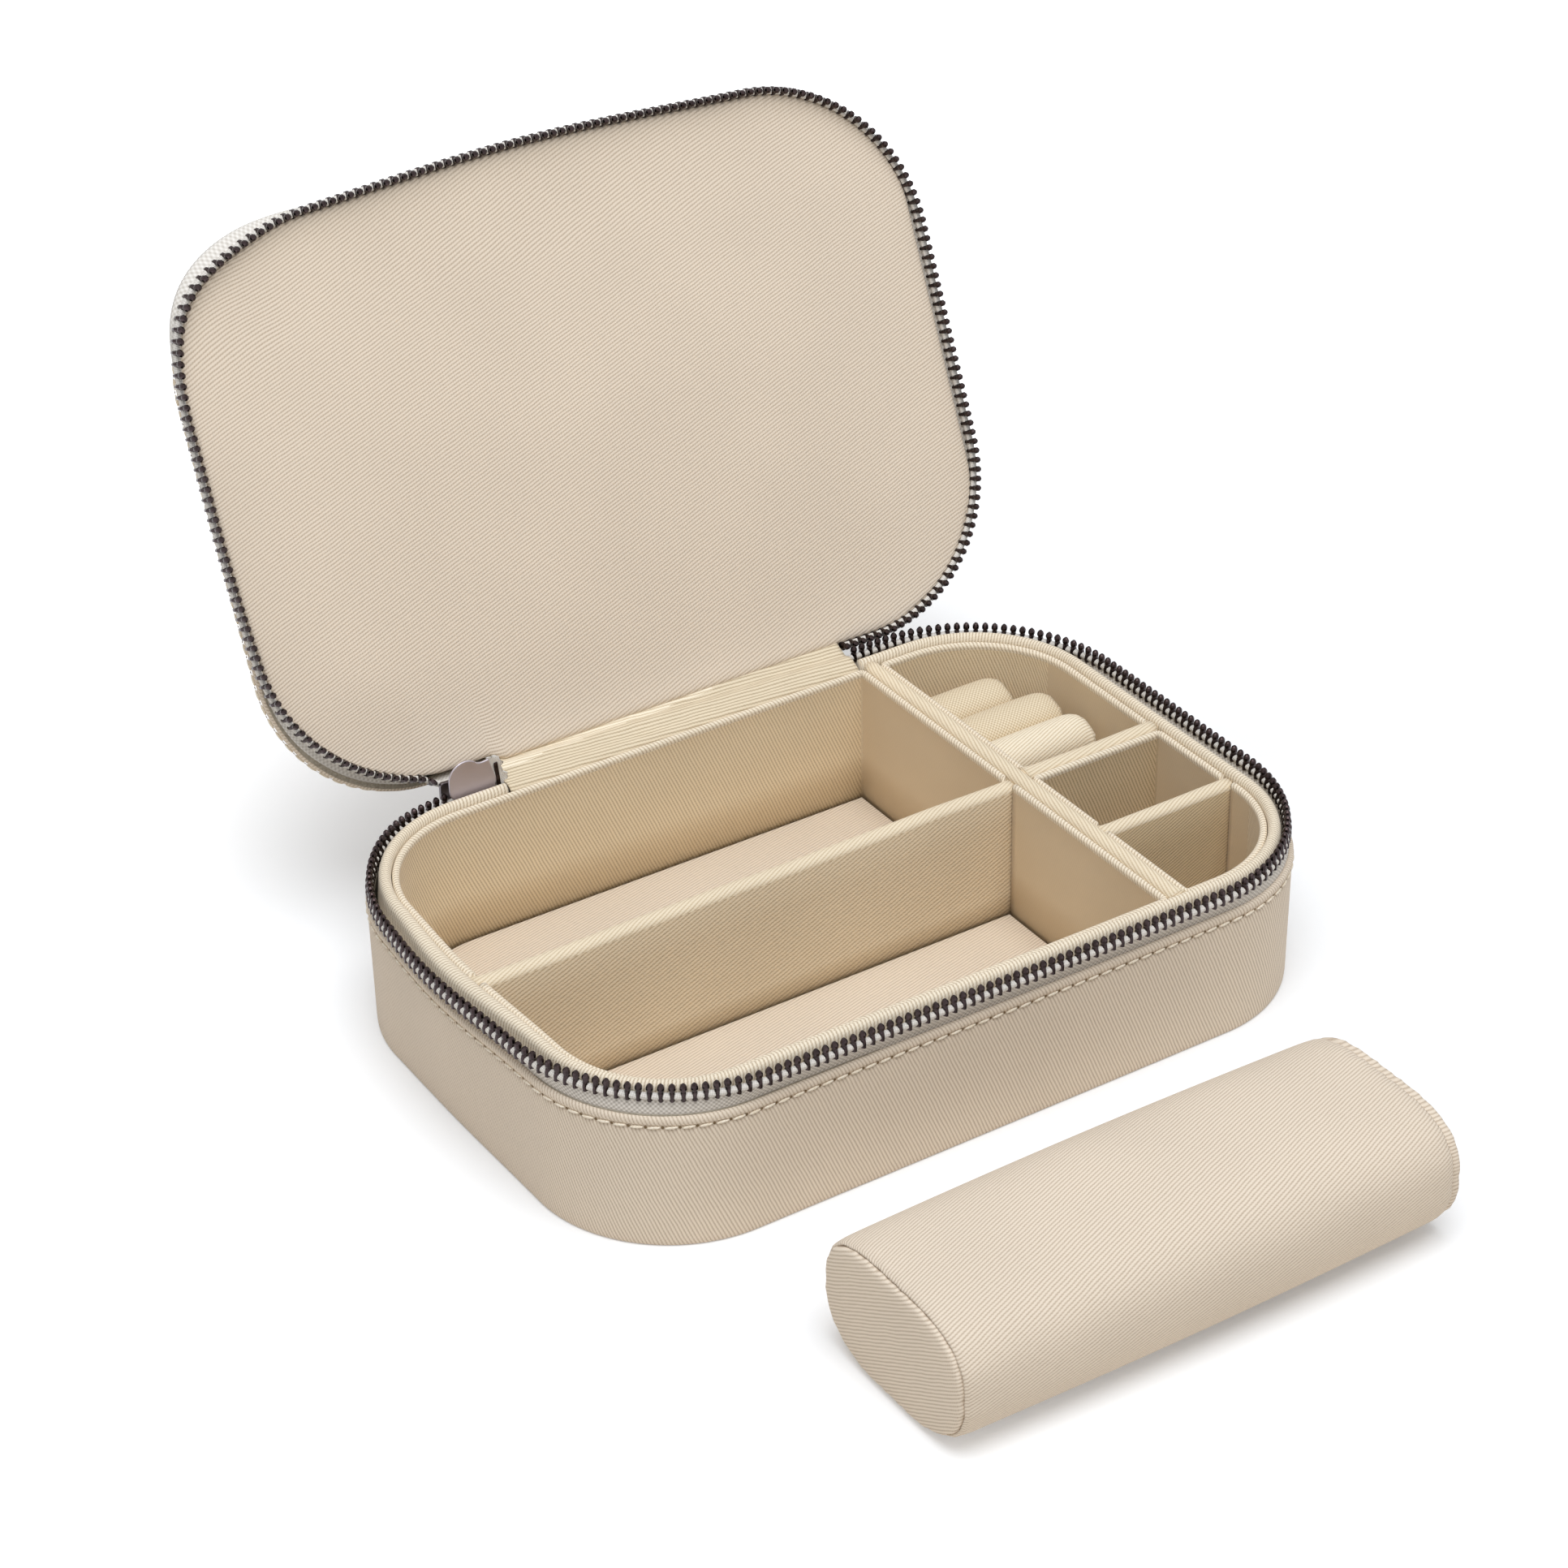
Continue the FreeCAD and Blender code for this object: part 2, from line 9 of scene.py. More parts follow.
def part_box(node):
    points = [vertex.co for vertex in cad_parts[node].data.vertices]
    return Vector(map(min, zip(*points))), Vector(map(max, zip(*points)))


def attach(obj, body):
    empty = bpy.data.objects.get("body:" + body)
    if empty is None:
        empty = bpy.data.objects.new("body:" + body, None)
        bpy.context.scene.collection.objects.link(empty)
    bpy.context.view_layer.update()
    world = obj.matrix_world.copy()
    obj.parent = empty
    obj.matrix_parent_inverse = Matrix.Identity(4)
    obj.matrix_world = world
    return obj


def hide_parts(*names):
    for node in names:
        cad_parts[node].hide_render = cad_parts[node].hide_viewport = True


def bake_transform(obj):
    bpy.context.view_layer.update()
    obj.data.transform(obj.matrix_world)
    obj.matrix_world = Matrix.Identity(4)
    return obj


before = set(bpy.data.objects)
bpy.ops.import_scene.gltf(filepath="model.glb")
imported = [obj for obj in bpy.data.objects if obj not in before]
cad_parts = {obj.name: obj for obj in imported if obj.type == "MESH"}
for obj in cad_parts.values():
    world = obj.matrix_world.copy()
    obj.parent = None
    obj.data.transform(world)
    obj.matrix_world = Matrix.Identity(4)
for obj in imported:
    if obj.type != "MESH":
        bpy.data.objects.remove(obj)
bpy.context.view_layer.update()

# The looks of a zipped travel jewelry box, standing open, with its bracelet cushion in front of it.
# Meshes are drawn in millimetres in the frame's axes, and scaled to metres when a piece is finished.
# Every cloth piece carries its weave as a UV map in millimetres, laid along the way the cloth was cut.
MM = 0.001
UP = Vector((0, 0, 1))
BACK = Vector((0, 1, 0))
RIGHT = Vector((1, 0, 0))


def node_box(name):
    """The lowest and highest corner of a CAD node at rest, in millimetres."""
    low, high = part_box(name)
    return Vector(low) / MM, Vector(high) / MM


class Outline(namedtuple("Outline", "length width corner")):
    """A rectangle with round corners, seen from above."""

    def way_round(self):
        straights = 2 * (self.length + self.width) - 8 * self.corner
        return straights + 2 * math.pi * self.corner

    def sides(self):
        return self.length / 2 - self.corner, self.width / 2 - self.corner


case_low, case_high = node_box("base_wall_cover")
CASE = Outline(case_high.x - case_low.x, case_high.y - case_low.y, 36.0)
ZIP = Outline(CASE.length + 1.8, CASE.width + 0.4, CASE.corner + 6.0)
ZIP_PLANE = case_high.z + 5.4
HEM_TOP = ZIP_PLANE - 6.2
LID_HEM = ZIP_PLANE + 6.2
LID_TOP = ZIP_PLANE + 14.0
LID_EDGE = 7.6
COLLAR_TOP = node_box("collar")[1].z
BOARD_TOP = node_box("base_bottom_board")[1].z
HINGE_HALF = 52.0
HINGE_AXIS = Vector((0, CASE.width / 2 + 1.5, ZIP_PLANE))
LID_OPEN = math.radians(-114)

# Stitching of the hems
STITCHES_ROUND = 164
STITCH_DROP = 2.7
STITCH_PITCH = CASE.way_round() / STITCHES_ROUND
STITCH_LENGTH = 3.1
STITCH_THICKNESS = 0.7

# Zip, and where each half of it hangs outwards when it is unzipped: x, y, reach in x and y, and how far
TOOTH_PITCH = 2.45
LID_SLACK = (
    (-2.0, -70.0, 62.0, 30.0, 4.2),
    (-97.0, -57.0, 16.0, 16.0, 4.0),
    (-103.0, 0.0, 30.0, 40.0, 1.0),
)
BASE_SLACK = (
    (-102.0, 5.0, 30.0, 28.0, 3.2),
    (30.0, -70.0, 70.0, 30.0, 1.0),
)
TAPE_FOLD = ((-83.0, -66.5, 21.0, 18.0, 3.3),)
TEETH_START = 66.6

# The lid's back left corner, where its zip is drawn in, in the same terms, and how it rises with that
LID_TUCK = (-84.0, 60.0, 34.0, 34.0, 2.7)
TUCK_RISE = 0.6
# The slider's stretch of the back edge, in x: where it begins and ends, and the dip of the zip beside it
SLIDER_FROM = (-69.0, -66.0)
SLIDER_TO = (-49.5, -47.5)
SLIDER_ROOM = 1.95
DIP_X, DIP_REACH, DIP_DEPTH = -68.0, 13.0, 1.5
SOFT_EDGE = 25.0

# Bays: the radius at a corner of the case and at a divider, and the boards along the walls
BAY_ROUND = 29.7
BAY_NOOK = 2.0
LINER_THICK = 1.6
PAD_ROUND = BAY_ROUND - LINER_THICK


def go(x, y, spacing=2.0):
    """A straight move along a path: how many steps, how long each is, and what one step does."""
    count = max(1, round(math.hypot(x, y) / spacing))
    step = Vector((x, y, 0)) / count
    return count, step.length, Matrix.Translation(step)


def turn(x, y, degrees, radius, spacing=2.0):
    """A move along a path round an upright line at x, y."""
    angle = math.radians(degrees)
    count = max(5, round(abs(angle) * radius / spacing))
    centre = Matrix.Translation((x, y, 0))
    step = centre @ Matrix.Rotation(angle / count, 4, "Z") @ centre.inverted()
    return count, abs(angle) * radius / count, step


def facing(x, y, degrees=0.0):
    """A start of a path: the place, with its outer side towards +Y turned by some degrees."""
    return Matrix.Translation((x, y, 0)) @ Matrix.Rotation(math.radians(degrees), 4, "Z")


def round_outline(outline, start_x=0.0, end_x=0.0, spacing=2.0):
    """The moves round an outline, from start_x at the back by way of the left side to end_x at the back."""
    side_x, side_y = outline.sides()
    radius = outline.corner
    return [
        go(-side_x - start_x, 0, spacing),
        turn(-side_x, side_y, 90, radius, spacing),
        go(0, -2 * side_y, spacing),
        turn(-side_x, -side_y, 90, radius, spacing),
        go(2 * side_x, 0, spacing),
        turn(side_x, -side_y, 90, radius, spacing),
        go(0, 2 * side_y, spacing),
        turn(side_x, side_y, 90, radius, spacing),
        go(end_x - side_x, 0, spacing),
    ]


def weave_map(bm, lean):
    """The UV map of the weave, and what turns a spot on the cloth into it at a lean in degrees."""
    layer = bm.loops.layers.uv.get("weave") or bm.loops.layers.uv.new("weave")
    cosine = math.cos(math.radians(lean))
    sine = math.sin(math.radians(lean))

    def leaning(x, y):
        return x * cosine + y * sine, y * cosine - x * sine

    return layer, leaning


def sweep(bm, section, start, moves, lean=90.0, shape=None, tube=True, fill=True):
    """Bends a strip of cloth into a section of (out, up) points and carries it along a path.

    lean is the angle from the path to the weave's ribs, in degrees. shape may move a point, given its
    travel, out and up. A tube's section joins up with itself, and fill closes the ends that stay open.
    """
    places = [(0.0, start)]
    for count, pace, step in moves:
        for _ in range(count):
            travel, place = places[-1]
            places.append((travel + pace, step @ place))
    rows = section + section[:1] if tube else section
    reach = [0.0]
    for (out, up), (next_out, next_up) in zip(rows, rows[1:]):
        reach.append(reach[-1] + math.hypot(next_out - out, next_up - up))
    columns = len(places) - 1
    strip = bmesh.ops.create_grid(bm, x_segments=columns, y_segments=len(rows) - 1, size=0.5)["verts"]
    weave, leaning = weave_map(bm, lean)
    for vert in strip:
        travel, place = places[round((vert.co.x + 0.5) * columns)]
        row = round((vert.co.y + 0.5) * (len(rows) - 1))
        across = reach[row]
        for loop in vert.link_loops:
            loop[weave].uv = leaning(travel, across)
        out, up = rows[row]
        if shape:
            out, up = shape(travel, out, up)
        vert.co = place @ Vector((0, out, up))
    bmesh.ops.remove_doubles(bm, verts=strip, dist=0.001)
    if fill:
        rims = [edge for edge in bm.edges if edge.is_boundary]
        lay_flat(bm, bmesh.ops.edgeloop_fill(bm, edges=rims)["faces"], lean)
    return reach[-1]


def lay_flat(bm, faces, lean, axes=None):
    """Lays the weave on faces as seen along their normal, or on the two axes that are given."""
    weave, leaning = weave_map(bm, lean)
    for face in faces:
        face.normal_update()
        if axes:
            first, second = axes
        elif abs(face.normal.z) > 0.7:
            first, second = RIGHT, BACK
        elif abs(face.normal.y) > 0.7:
            first, second = RIGHT, UP
        else:
            first, second = BACK, UP
        for loop in face.loops:
            loop[weave].uv = leaning(loop.vert.co.dot(first), loop.vert.co.dot(second))


def station(outline, travel):
    """The place that far round an outline from the middle of the back, facing outwards along +Y."""
    side_x, side_y = outline.sides()
    spot = Vector((0, outline.width / 2, 0))
    turned = 0.0
    for straight in (side_x, 2 * side_y, 2 * side_x, 2 * side_y, side_x):
        heading = Matrix.Rotation(turned, 3, "Z")
        run = min(travel, straight)
        spot = spot + heading @ Vector((-run, 0, 0))
        travel -= run
        if travel <= 0:
            break
        bend = min(travel / outline.corner, math.pi / 2)
        centre = spot + heading @ Vector((0, -outline.corner, 0))
        spot = centre + Matrix.Rotation(bend, 3, "Z") @ (spot - centre)
        turned += bend
        travel -= bend * outline.corner
        if travel <= 0:
            break
    return Matrix.Translation(spot) @ Matrix.Rotation(turned, 4, "Z")


def onto(outline, spot, out=0.0):
    """The point nearest to a spot on the line that runs some distance out from an outline."""
    side_x, side_y = outline.sides()
    core = Vector((max(-side_x, min(side_x, spot.x)), max(-side_y, min(side_y, spot.y)), spot.z))
    return core + (spot - core).normalized() * (outline.corner + out)


def verts_of(made):
    """The points among what a mesh operator made."""
    return [item for item in made if isinstance(item, bmesh.types.BMVert)]


def spin(bm, angle, axis):
    """Turns the whole mesh about an axis of the frame."""
    bmesh.ops.rotate(bm, cent=(0, 0, 0), matrix=Matrix.Rotation(angle, 3, axis), verts=bm.verts)


def place_copies(bm, places):
    """Copies what the mesh holds to each place, and removes the pattern itself."""
    pattern = bm.verts[:] + bm.edges[:] + bm.faces[:]
    pattern_verts = bm.verts[:]
    for place in places:
        copy = bmesh.ops.duplicate(bm, geom=pattern)["geom"]
        bmesh.ops.transform(bm, matrix=place, verts=verts_of(copy))
    bmesh.ops.delete(bm, geom=pattern_verts, context="VERTS")


def grow(bm, rings):
    """Draws a flat outline up through rings of (x scale, y scale, height), and closes it at both ends."""
    wide, deep, height = rings[0]
    bmesh.ops.scale(bm, vec=(wide, deep, 1), verts=bm.verts)
    bmesh.ops.translate(bm, vec=(0, 0, height), verts=bm.verts)
    top = bm.faces[:]
    for number, (next_wide, next_deep, next_height) in enumerate(rings[1:]):
        made = bmesh.ops.extrude_face_region(bm, geom=top)["geom"]
        if number:
            bmesh.ops.delete(bm, geom=top, context="FACES_ONLY")
        top = [item for item in made if isinstance(item, bmesh.types.BMFace)]
        verts = verts_of(made)
        bmesh.ops.translate(bm, vec=(0, 0, next_height - height), verts=verts)
        bmesh.ops.scale(bm, vec=(next_wide / wide, next_deep / deep, 1), verts=verts)
        wide, deep, height = next_wide, next_deep, next_height


def ease(low, high, value):
    """How far a value has come from low to high, from 0 to 1."""
    return max(0.0, min(1.0, (value - low) / (high - low)))


def swing(edge, place):
    """How far a point of the case's edge is moved on account of one place."""
    x, y, reach_x, reach_y, amount = place
    return amount * math.exp(-((edge.x - x) / reach_x) ** 2 - ((edge.y - y) / reach_y) ** 2)


def slacken(bm, places, share):
    """Lets cloth hang outwards round the places; share is what a point takes, by its height and depth."""
    for vert in bm.verts:
        edge = onto(CASE, vert.co)
        outward = onto(CASE, vert.co, 1.0) - edge
        hang = sum(swing(edge, place) for place in places)
        vert.co += outward * hang * share(vert.co.z, (edge - vert.co).dot(outward))


# What a point takes of the slack at its edge, by its height and how far inside the edge it lies
def wall_share(z, depth):
    return 0.9 * ease(-8.0, HEM_TOP, z)


def rim_share(z, depth):
    return ease(8.0, 39.0, z) * (1.25 - 0.14 * (min(depth, 8.0) - 3.3)) * (1 - ease(8.0, 30.0, depth))


def zip_share(z, depth):
    return 0.9 + 0.1 * ease(HEM_TOP, HEM_TOP + 3.5, z)


def lid_share(z, depth):
    return ease(-LID_HEM, 2.0 - LID_HEM, -z) * (1 - ease(0.0, SOFT_EDGE, depth))


def fold_share(z, depth):
    return math.sin(math.pi * ease(-LID_HEM, -ZIP_PLANE - 1.4, -z))


def draw_in(bm, behind=0.0):
    """Draws the lid's edge in and up at its back left corner, and in by another length behind the slider."""
    for vert in bm.verts:
        edge = onto(CASE, vert.co)
        inward = edge - onto(CASE, vert.co, 1.0)
        depth = (vert.co - edge).dot(inward)
        corner = swing(edge, LID_TUCK)
        reached = ease(*SLIDER_FROM, edge.x)
        slider = reached * (1 - ease(*SLIDER_TO, edge.x)) * ease(50.0, 60.0, edge.y)
        pull = corner * (1 - reached) * lid_share(vert.co.z, depth)
        vert.co += inward * (pull + behind * slider * (1 - ease(0.0, SOFT_EDGE, depth)))
        vert.co.z += TUCK_RISE * pull


def sag(bm):
    """Lets the base's half of the zip dip, at the back, where it runs in under the slider."""
    for vert in bm.verts:
        if vert.co.y > 50:
            vert.co.z -= DIP_DEPTH * math.exp(-((vert.co.x - DIP_X) / DIP_REACH) ** 2)


def open_lid(bm):
    """Swings what was drawn on the closed lid to the open pose of the frame."""
    turned = Matrix.Rotation(LID_OPEN, 3, "X")
    bmesh.ops.rotate(bm, cent=HINGE_AXIS, matrix=turned, verts=bm.verts)


def stand(name, data):
    """Puts an object in the scene."""
    made = bpy.data.objects.new(name, data)
    bpy.context.scene.collection.objects.link(made)
    return made


def piece(name, bm, finishes, body, nodes=(), smooth=True):
    """Turns a mesh in millimetres into a piece that rides on a body and stands for CAD nodes."""
    bmesh.ops.recalc_face_normals(bm, faces=bm.faces)
    bmesh.ops.scale(bm, vec=(MM, MM, MM), verts=bm.verts)
    mesh = bpy.data.meshes.new(name)
    bm.to_mesh(mesh)
    bm.free()
    if smooth:
        mesh.shade_smooth()
    made = stand(name, mesh)
    for finish in finishes:
        mesh.materials.append(finish)
    if body:
        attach(made, body)
    if nodes:
        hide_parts(*nodes)
    return made


def colour(code):
    """A colour written as sRGB hex, as linear RGBA."""
    channels = [int(code[place:place + 2], 16) / 255 for place in (1, 3, 5)]
    linear = [c / 12.92 if c <= 0.04045 else ((c + 0.055) / 1.055) ** 2.4 for c in channels]
    return (*linear, 1.0)


def add(tree, kind, inputs, **settings):
    """Adds a shader node with its settings; an input is a value, an output, or a node with one to take."""
    made = tree.nodes.new("ShaderNode" + kind)
    for name, value in settings.items():
        setattr(made, name, value)
    for socket, value in inputs.items():
        if isinstance(value, bpy.types.Node):
            value = value.outputs[0]
        if isinstance(value, bpy.types.NodeSocket):
            tree.links.new(value, made.inputs[socket])
        else:
            made.inputs[socket].default_value = value
    return made


def new_finish(name):
    finish = bpy.data.materials.new(name)
    finish.use_nodes = True
    finish.node_tree.nodes.clear()
    return finish, finish.node_tree


def twill(name, rib, furrow_shade, rib_width=0.84, relief=0.12, shade=0.95):
    """Cotton twill: raised slanting ribs with pinholes in each groove between them, matt, slightly uneven in
    tone. The grooves and pinholes are drawn in a darker colour: painted shade.

    The real ribs are about 0.84 mm apart, and wider or finer where a comment says so.
    """
    finish, tree = new_finish(name)
    cloth = add(tree, "UVMap", {}, uv_map="weave").outputs["UV"]
    wander = add(tree, "TexNoise", {"Vector": cloth, "Scale": 1 / 7.0, "Detail": 2.0})
    split = add(tree, "SeparateXYZ", {"Vector": cloth})
    drift = add(tree, "Math", {0: wander.outputs["Fac"], 1: 0.5}, operation="MULTIPLY")
    across = add(tree, "Math", {0: split.outputs["Y"], 1: drift}, operation="ADD")
    ribs = add(tree, "Math", {0: across, 1: rib_width}, operation="DIVIDE")
    crest = add(tree, "Math", {0: ribs, 1: 0.5}, operation="PINGPONG")
    number = add(tree, "Math", {0: ribs}, operation="FLOOR")
    picks = add(tree, "Math", {0: split.outputs["X"], 1: rib_width * 0.9}, operation="DIVIDE")
    offset = add(tree, "Math", {0: number, 1: 0.37, 2: picks}, operation="MULTIPLY_ADD")
    pin = add(tree, "Math", {0: offset, 1: 0.5}, operation="PINGPONG")
    # Painted shade: the grooves between the ribs and the pinholes in them take the darker colour, and the
    # bump dips there too
    hollow_shade = add(tree, "MapRange", {
        "Value": crest, "From Min": 0.0, "From Max": 0.4, "To Min": 1.0, "To Max": 0.0},
        interpolation_type="SMOOTHSTEP")
    pinhole = add(tree, "MapRange", {
        "Value": pin, "From Min": 0.0, "From Max": 0.5, "To Min": 0.5, "To Max": 1.0})
    dark = add(tree, "Math", {0: hollow_shade, 1: pinhole}, operation="MULTIPLY")
    slub = add(tree, "TexNoise", {"Vector": cloth, "Scale": 1 / 1.4, "Detail": 2.0})
    uneven = add(tree, "MapRange", {
        "Value": slub.outputs["Fac"], "From Min": 0.25, "From Max": 0.75,
        "To Min": shade * 0.75, "To Max": shade})
    shade_mask = add(tree, "Math", {0: dark, 1: uneven}, operation="MULTIPLY")
    tone = add(tree, "Mix", {"Factor": shade_mask, "A": colour(rib), "B": colour(furrow_shade)}, data_type="RGBA")
    patch = add(tree, "TexNoise", {"Vector": cloth, "Scale": 1 / 35.0, "Detail": 1.0})
    level = add(tree, "MapRange", {
        "Value": patch.outputs["Fac"], "From Min": 0.3, "From Max": 0.7, "To Min": 0.975, "To Max": 1.02})
    dyed = add(tree, "VectorMath", {0: tone.outputs["Result"], "Scale": level}, operation="SCALE")
    height = add(tree, "Math", {0: 1.0, 1: dark}, operation="SUBTRACT")
    bump = add(tree, "Bump", {"Height": height, "Strength": 0.6, "Distance": relief * MM})
    skin = add(tree, "BsdfPrincipled", {
        "Base Color": dyed, "Roughness": 0.85, "Specular IOR Level": 0.25,
        "Sheen Weight": 0.12, "Sheen Roughness": 0.5, "Normal": bump})
    add(tree, "OutputMaterial", {"Surface": skin})
    return finish


def plain_weave(name, light, dark, pick):
    """Plain weave, over one thread and under the next: zip tape of silky polyester, or a coarse cotton.
    Where a thread dips under the next it takes the dark colour, partly the threads' own tone and partly
    painted shade.

    pick is the width of two threads in millimetres.
    """
    finish, tree = new_finish(name)
    cloth = add(tree, "UVMap", {}, uv_map="weave").outputs["UV"]
    split = add(tree, "SeparateXYZ", {"Vector": cloth})
    along = add(tree, "Math", {0: split.outputs["X"], 1: pick}, operation="DIVIDE")
    across = add(tree, "Math", {0: split.outputs["Y"], 1: pick}, operation="DIVIDE")
    slant = add(tree, "Math", {0: along, 1: across}, operation="ADD")
    counter = add(tree, "Math", {0: along, 1: across}, operation="SUBTRACT")
    over = add(tree, "Math", {0: slant, 1: 0.5}, operation="PINGPONG")
    under = add(tree, "Math", {0: counter, 1: 0.5}, operation="PINGPONG")
    height = add(tree, "Math", {0: over, 1: under}, operation="ADD")
    # Painted shade, partly the threads' own tone: where a thread dips under the next it takes the dark
    # colour
    tone = add(tree, "Mix", {"Factor": height, "A": colour(dark), "B": colour(light)}, data_type="RGBA")
    bump = add(tree, "Bump", {"Height": height, "Strength": 0.6, "Distance": 0.1 * MM})
    skin = add(tree, "BsdfPrincipled", {
        "Base Color": tone.outputs["Result"], "Roughness": 0.6, "Sheen Weight": 0.1,
        "Normal": bump})
    add(tree, "OutputMaterial", {"Surface": skin})
    return finish


def plated_metal(name, bright, dull, roughness, grain):
    """Black-nickel plated brass: dark, glossy metal with faint handling marks that vary its shine."""
    finish, tree = new_finish(name)
    place = add(tree, "TexCoord", {}).outputs["Object"]
    marks = add(tree, "TexNoise", {"Vector": place, "Scale": 1 / (grain * MM), "Detail": 3.0})
    tone = add(tree, "Mix", {
        "Factor": marks.outputs["Fac"], "A": colour(dull), "B": colour(bright)}, data_type="RGBA")
    shine = add(tree, "MapRange", {
        "Value": marks.outputs["Fac"], "To Min": roughness * 0.7, "To Max": roughness * 1.4})
    skin = add(tree, "BsdfPrincipled", {
        "Base Color": tone.outputs["Result"], "Metallic": 1.0, "Roughness": shine})
    add(tree, "OutputMaterial", {"Surface": skin})
    return finish


def speckled(name, light, dark, grain, roughness=0.9):
    """Matt stuff with a fine random fleck: thread, grey board or raw foam."""
    finish, tree = new_finish(name)
    place = add(tree, "TexCoord", {}).outputs["Object"]
    fleck = add(tree, "TexNoise", {"Vector": place, "Scale": 1 / (grain * MM), "Detail": 3.0})
    spread = add(tree, "MapRange", {"Value": fleck.outputs["Fac"], "From Min": 0.3, "From Max": 0.7})
    tone = add(tree, "Mix", {"Factor": spread, "A": colour(dark), "B": colour(light)}, data_type="RGBA")
    bump = add(tree, "Bump", {"Height": spread, "Strength": 0.5, "Distance": 0.1 * MM})
    skin = add(tree, "BsdfPrincipled", {
        "Base Color": tone.outputs["Result"], "Roughness": roughness, "Normal": bump})
    add(tree, "OutputMaterial", {"Surface": skin})
    return finish


# One cream cotton, in the slightly different tones that its pieces show; some copies are lighter or darker
# only to paint in the light and shade on their pieces
case_twill = twill("cream_cotton_twill", "#EFE2D1", "#B5A18A")
bay_twill = twill("cream_cotton_bay_twill", "#F0E1C7", "#B39C79")
# The dividers' ribs lie so flat to the eye that they are drawn a quarter wider, to show
divider_twill = twill("cream_cotton_divider_twill", "#F0E1C7", "#AD9672", rib_width=1.05)
# A darker copy for the small bay's walls and divider: painted shade, as that bay lies deeper in shadow
shaded_small_twill = twill("cream_cotton_small_bay_painted_shade_twill", "#E5D1AF", "#A58E69")
# A lighter copy for the back bays' walls: painted light, making up for the light those walls lack
lit_back_twill = twill("cream_cotton_back_bay_painted_light_twill", "#F7E6C8", "#BAA27C")
# A finer and flatter cloth on the side walls of the bays
smooth_twill = twill("cream_cotton_sateen", "#E3D0B2", "#D1BC9A", rib_width=0.6, relief=0.04, shade=0.5)
# Lighter, flatter-ribbed cloth for the dividers' rounded tops: painted light on the tops
lit_top_twill = twill("cream_cotton_divider_top_twill", "#F3E6CE", "#BFA985", relief=0.08)
# The ribs of the lining and of the rim are drawn a little wider than they are, to show. The rim's cloth is
# also drawn lighter than the case's: painted light on the rims.
lining_twill = twill("cream_cotton_lining_twill", "#EEE1C8", "#A48D6A", rib_width=0.95, relief=0.2)
lit_rim_twill = twill("cream_cotton_rim_twill", "#FAEFDB", "#AC9573", rib_width=0.95, relief=0.2)
# The front roll's cloth has slightly finer ribs
roll_twill = twill("cream_cotton_roll_twill", "#FFF5E0", "#C2AB86", rib_width=0.8)
basket_cotton = plain_weave("cream_cotton_basket_weave", "#FFF4DD", "#B59C72", pick=1.0)
# The tape's threads are drawn about twice as coarse as they are, to show
tape_weave = plain_weave("polyester_zip_tape", "#F6F1EA", "#9D958B", pick=1.15)
# A lighter copy of the tape for the lid's half: painted light on a tape that hangs in shade
lit_lid_tape_weave = plain_weave("polyester_lid_zip_tape_painted_light", "#FCFAF6", "#C6C0B8", pick=1.15)
cord_weave = plain_weave("polyester_zip_cord", "#F7F4EF", "#C4C0BA", pick=0.7)
tooth_metal = plated_metal("black_nickel_teeth", "#55494A", "#1D1716", 0.2, 1.2)
slider_metal = plated_metal("black_nickel_slider", "#C6C0C8", "#BEB8C0", 0.42, 6.0)
tab_metal = plated_metal("black_nickel_tab", "#7E787C", "#6A6468", 0.3, 6.0)
thread = speckled("cream_polyester_thread", "#FFF8EA", "#E6D8BF", 0.4, roughness=0.5)
# Painted shade: the dark inside a needle hole
needle_hole = speckled("shaded_needle_hole", "#8A7557", "#6B573D", 0.4)
grey_board = speckled("grey_bookbinding_board", "#B8AF9F", "#948B7C", 0.6)


def ring_section(out, up, radius, count=10):
    """A round section, for cords."""
    turns = [2 * math.pi * number / count for number in range(count)]
    return [(out + radius * math.cos(angle), up + radius * math.sin(angle)) for angle in turns]


def hem_section(hem, foot, sign):
    """The outer skin: up from the foot, in at the stitch line, puffed over the fold and down inside.

    sign is 1 for the base, whose hem is at the top, and -1 for the lid.
    """
    drop = STITCH_DROP
    shape = [
        (-0.02, drop + 2.4), (-0.05, drop + 1.2), (-0.25, drop + 0.7), (-0.5, drop + 0.4), (-0.5, drop),
        (-0.35, drop - 0.4), (0.05, drop - 0.65), (0.22, 1.6), (0.26, 1.1), (0.15, 0.55),
        (-0.15, 0.15), (-0.7, 0.0),
        (-1.3, 0.25), (-1.6, 0.9), (-1.7, 2.0), (-1.7, drop + 3.0),
    ]
    turned = [(out, hem - sign * below) for out, below in shape]
    return foot + turned


def puckered(stitch_up, hem_up):
    """How a hem is drawn in at each needle hole and puffs between them."""
    fold_up = (stitch_up + hem_up) / 2

    def shape(travel, out, up):
        near_stitch = math.exp(-((up - stitch_up) / 0.35) ** 2)
        near_fold = math.exp(-((up - fold_up) / 1.2) ** 2)
        wave = math.cos(2 * math.pi * travel / STITCH_PITCH)
        turned = 2 * math.pi * travel / CASE.way_round()
        slow = math.sin(11 * turned) + math.sin(19 * turned + 1.0)
        return out - 0.14 * near_stitch * wave - near_fold * (0.05 * wave - 0.04 * slow), up

    return shape


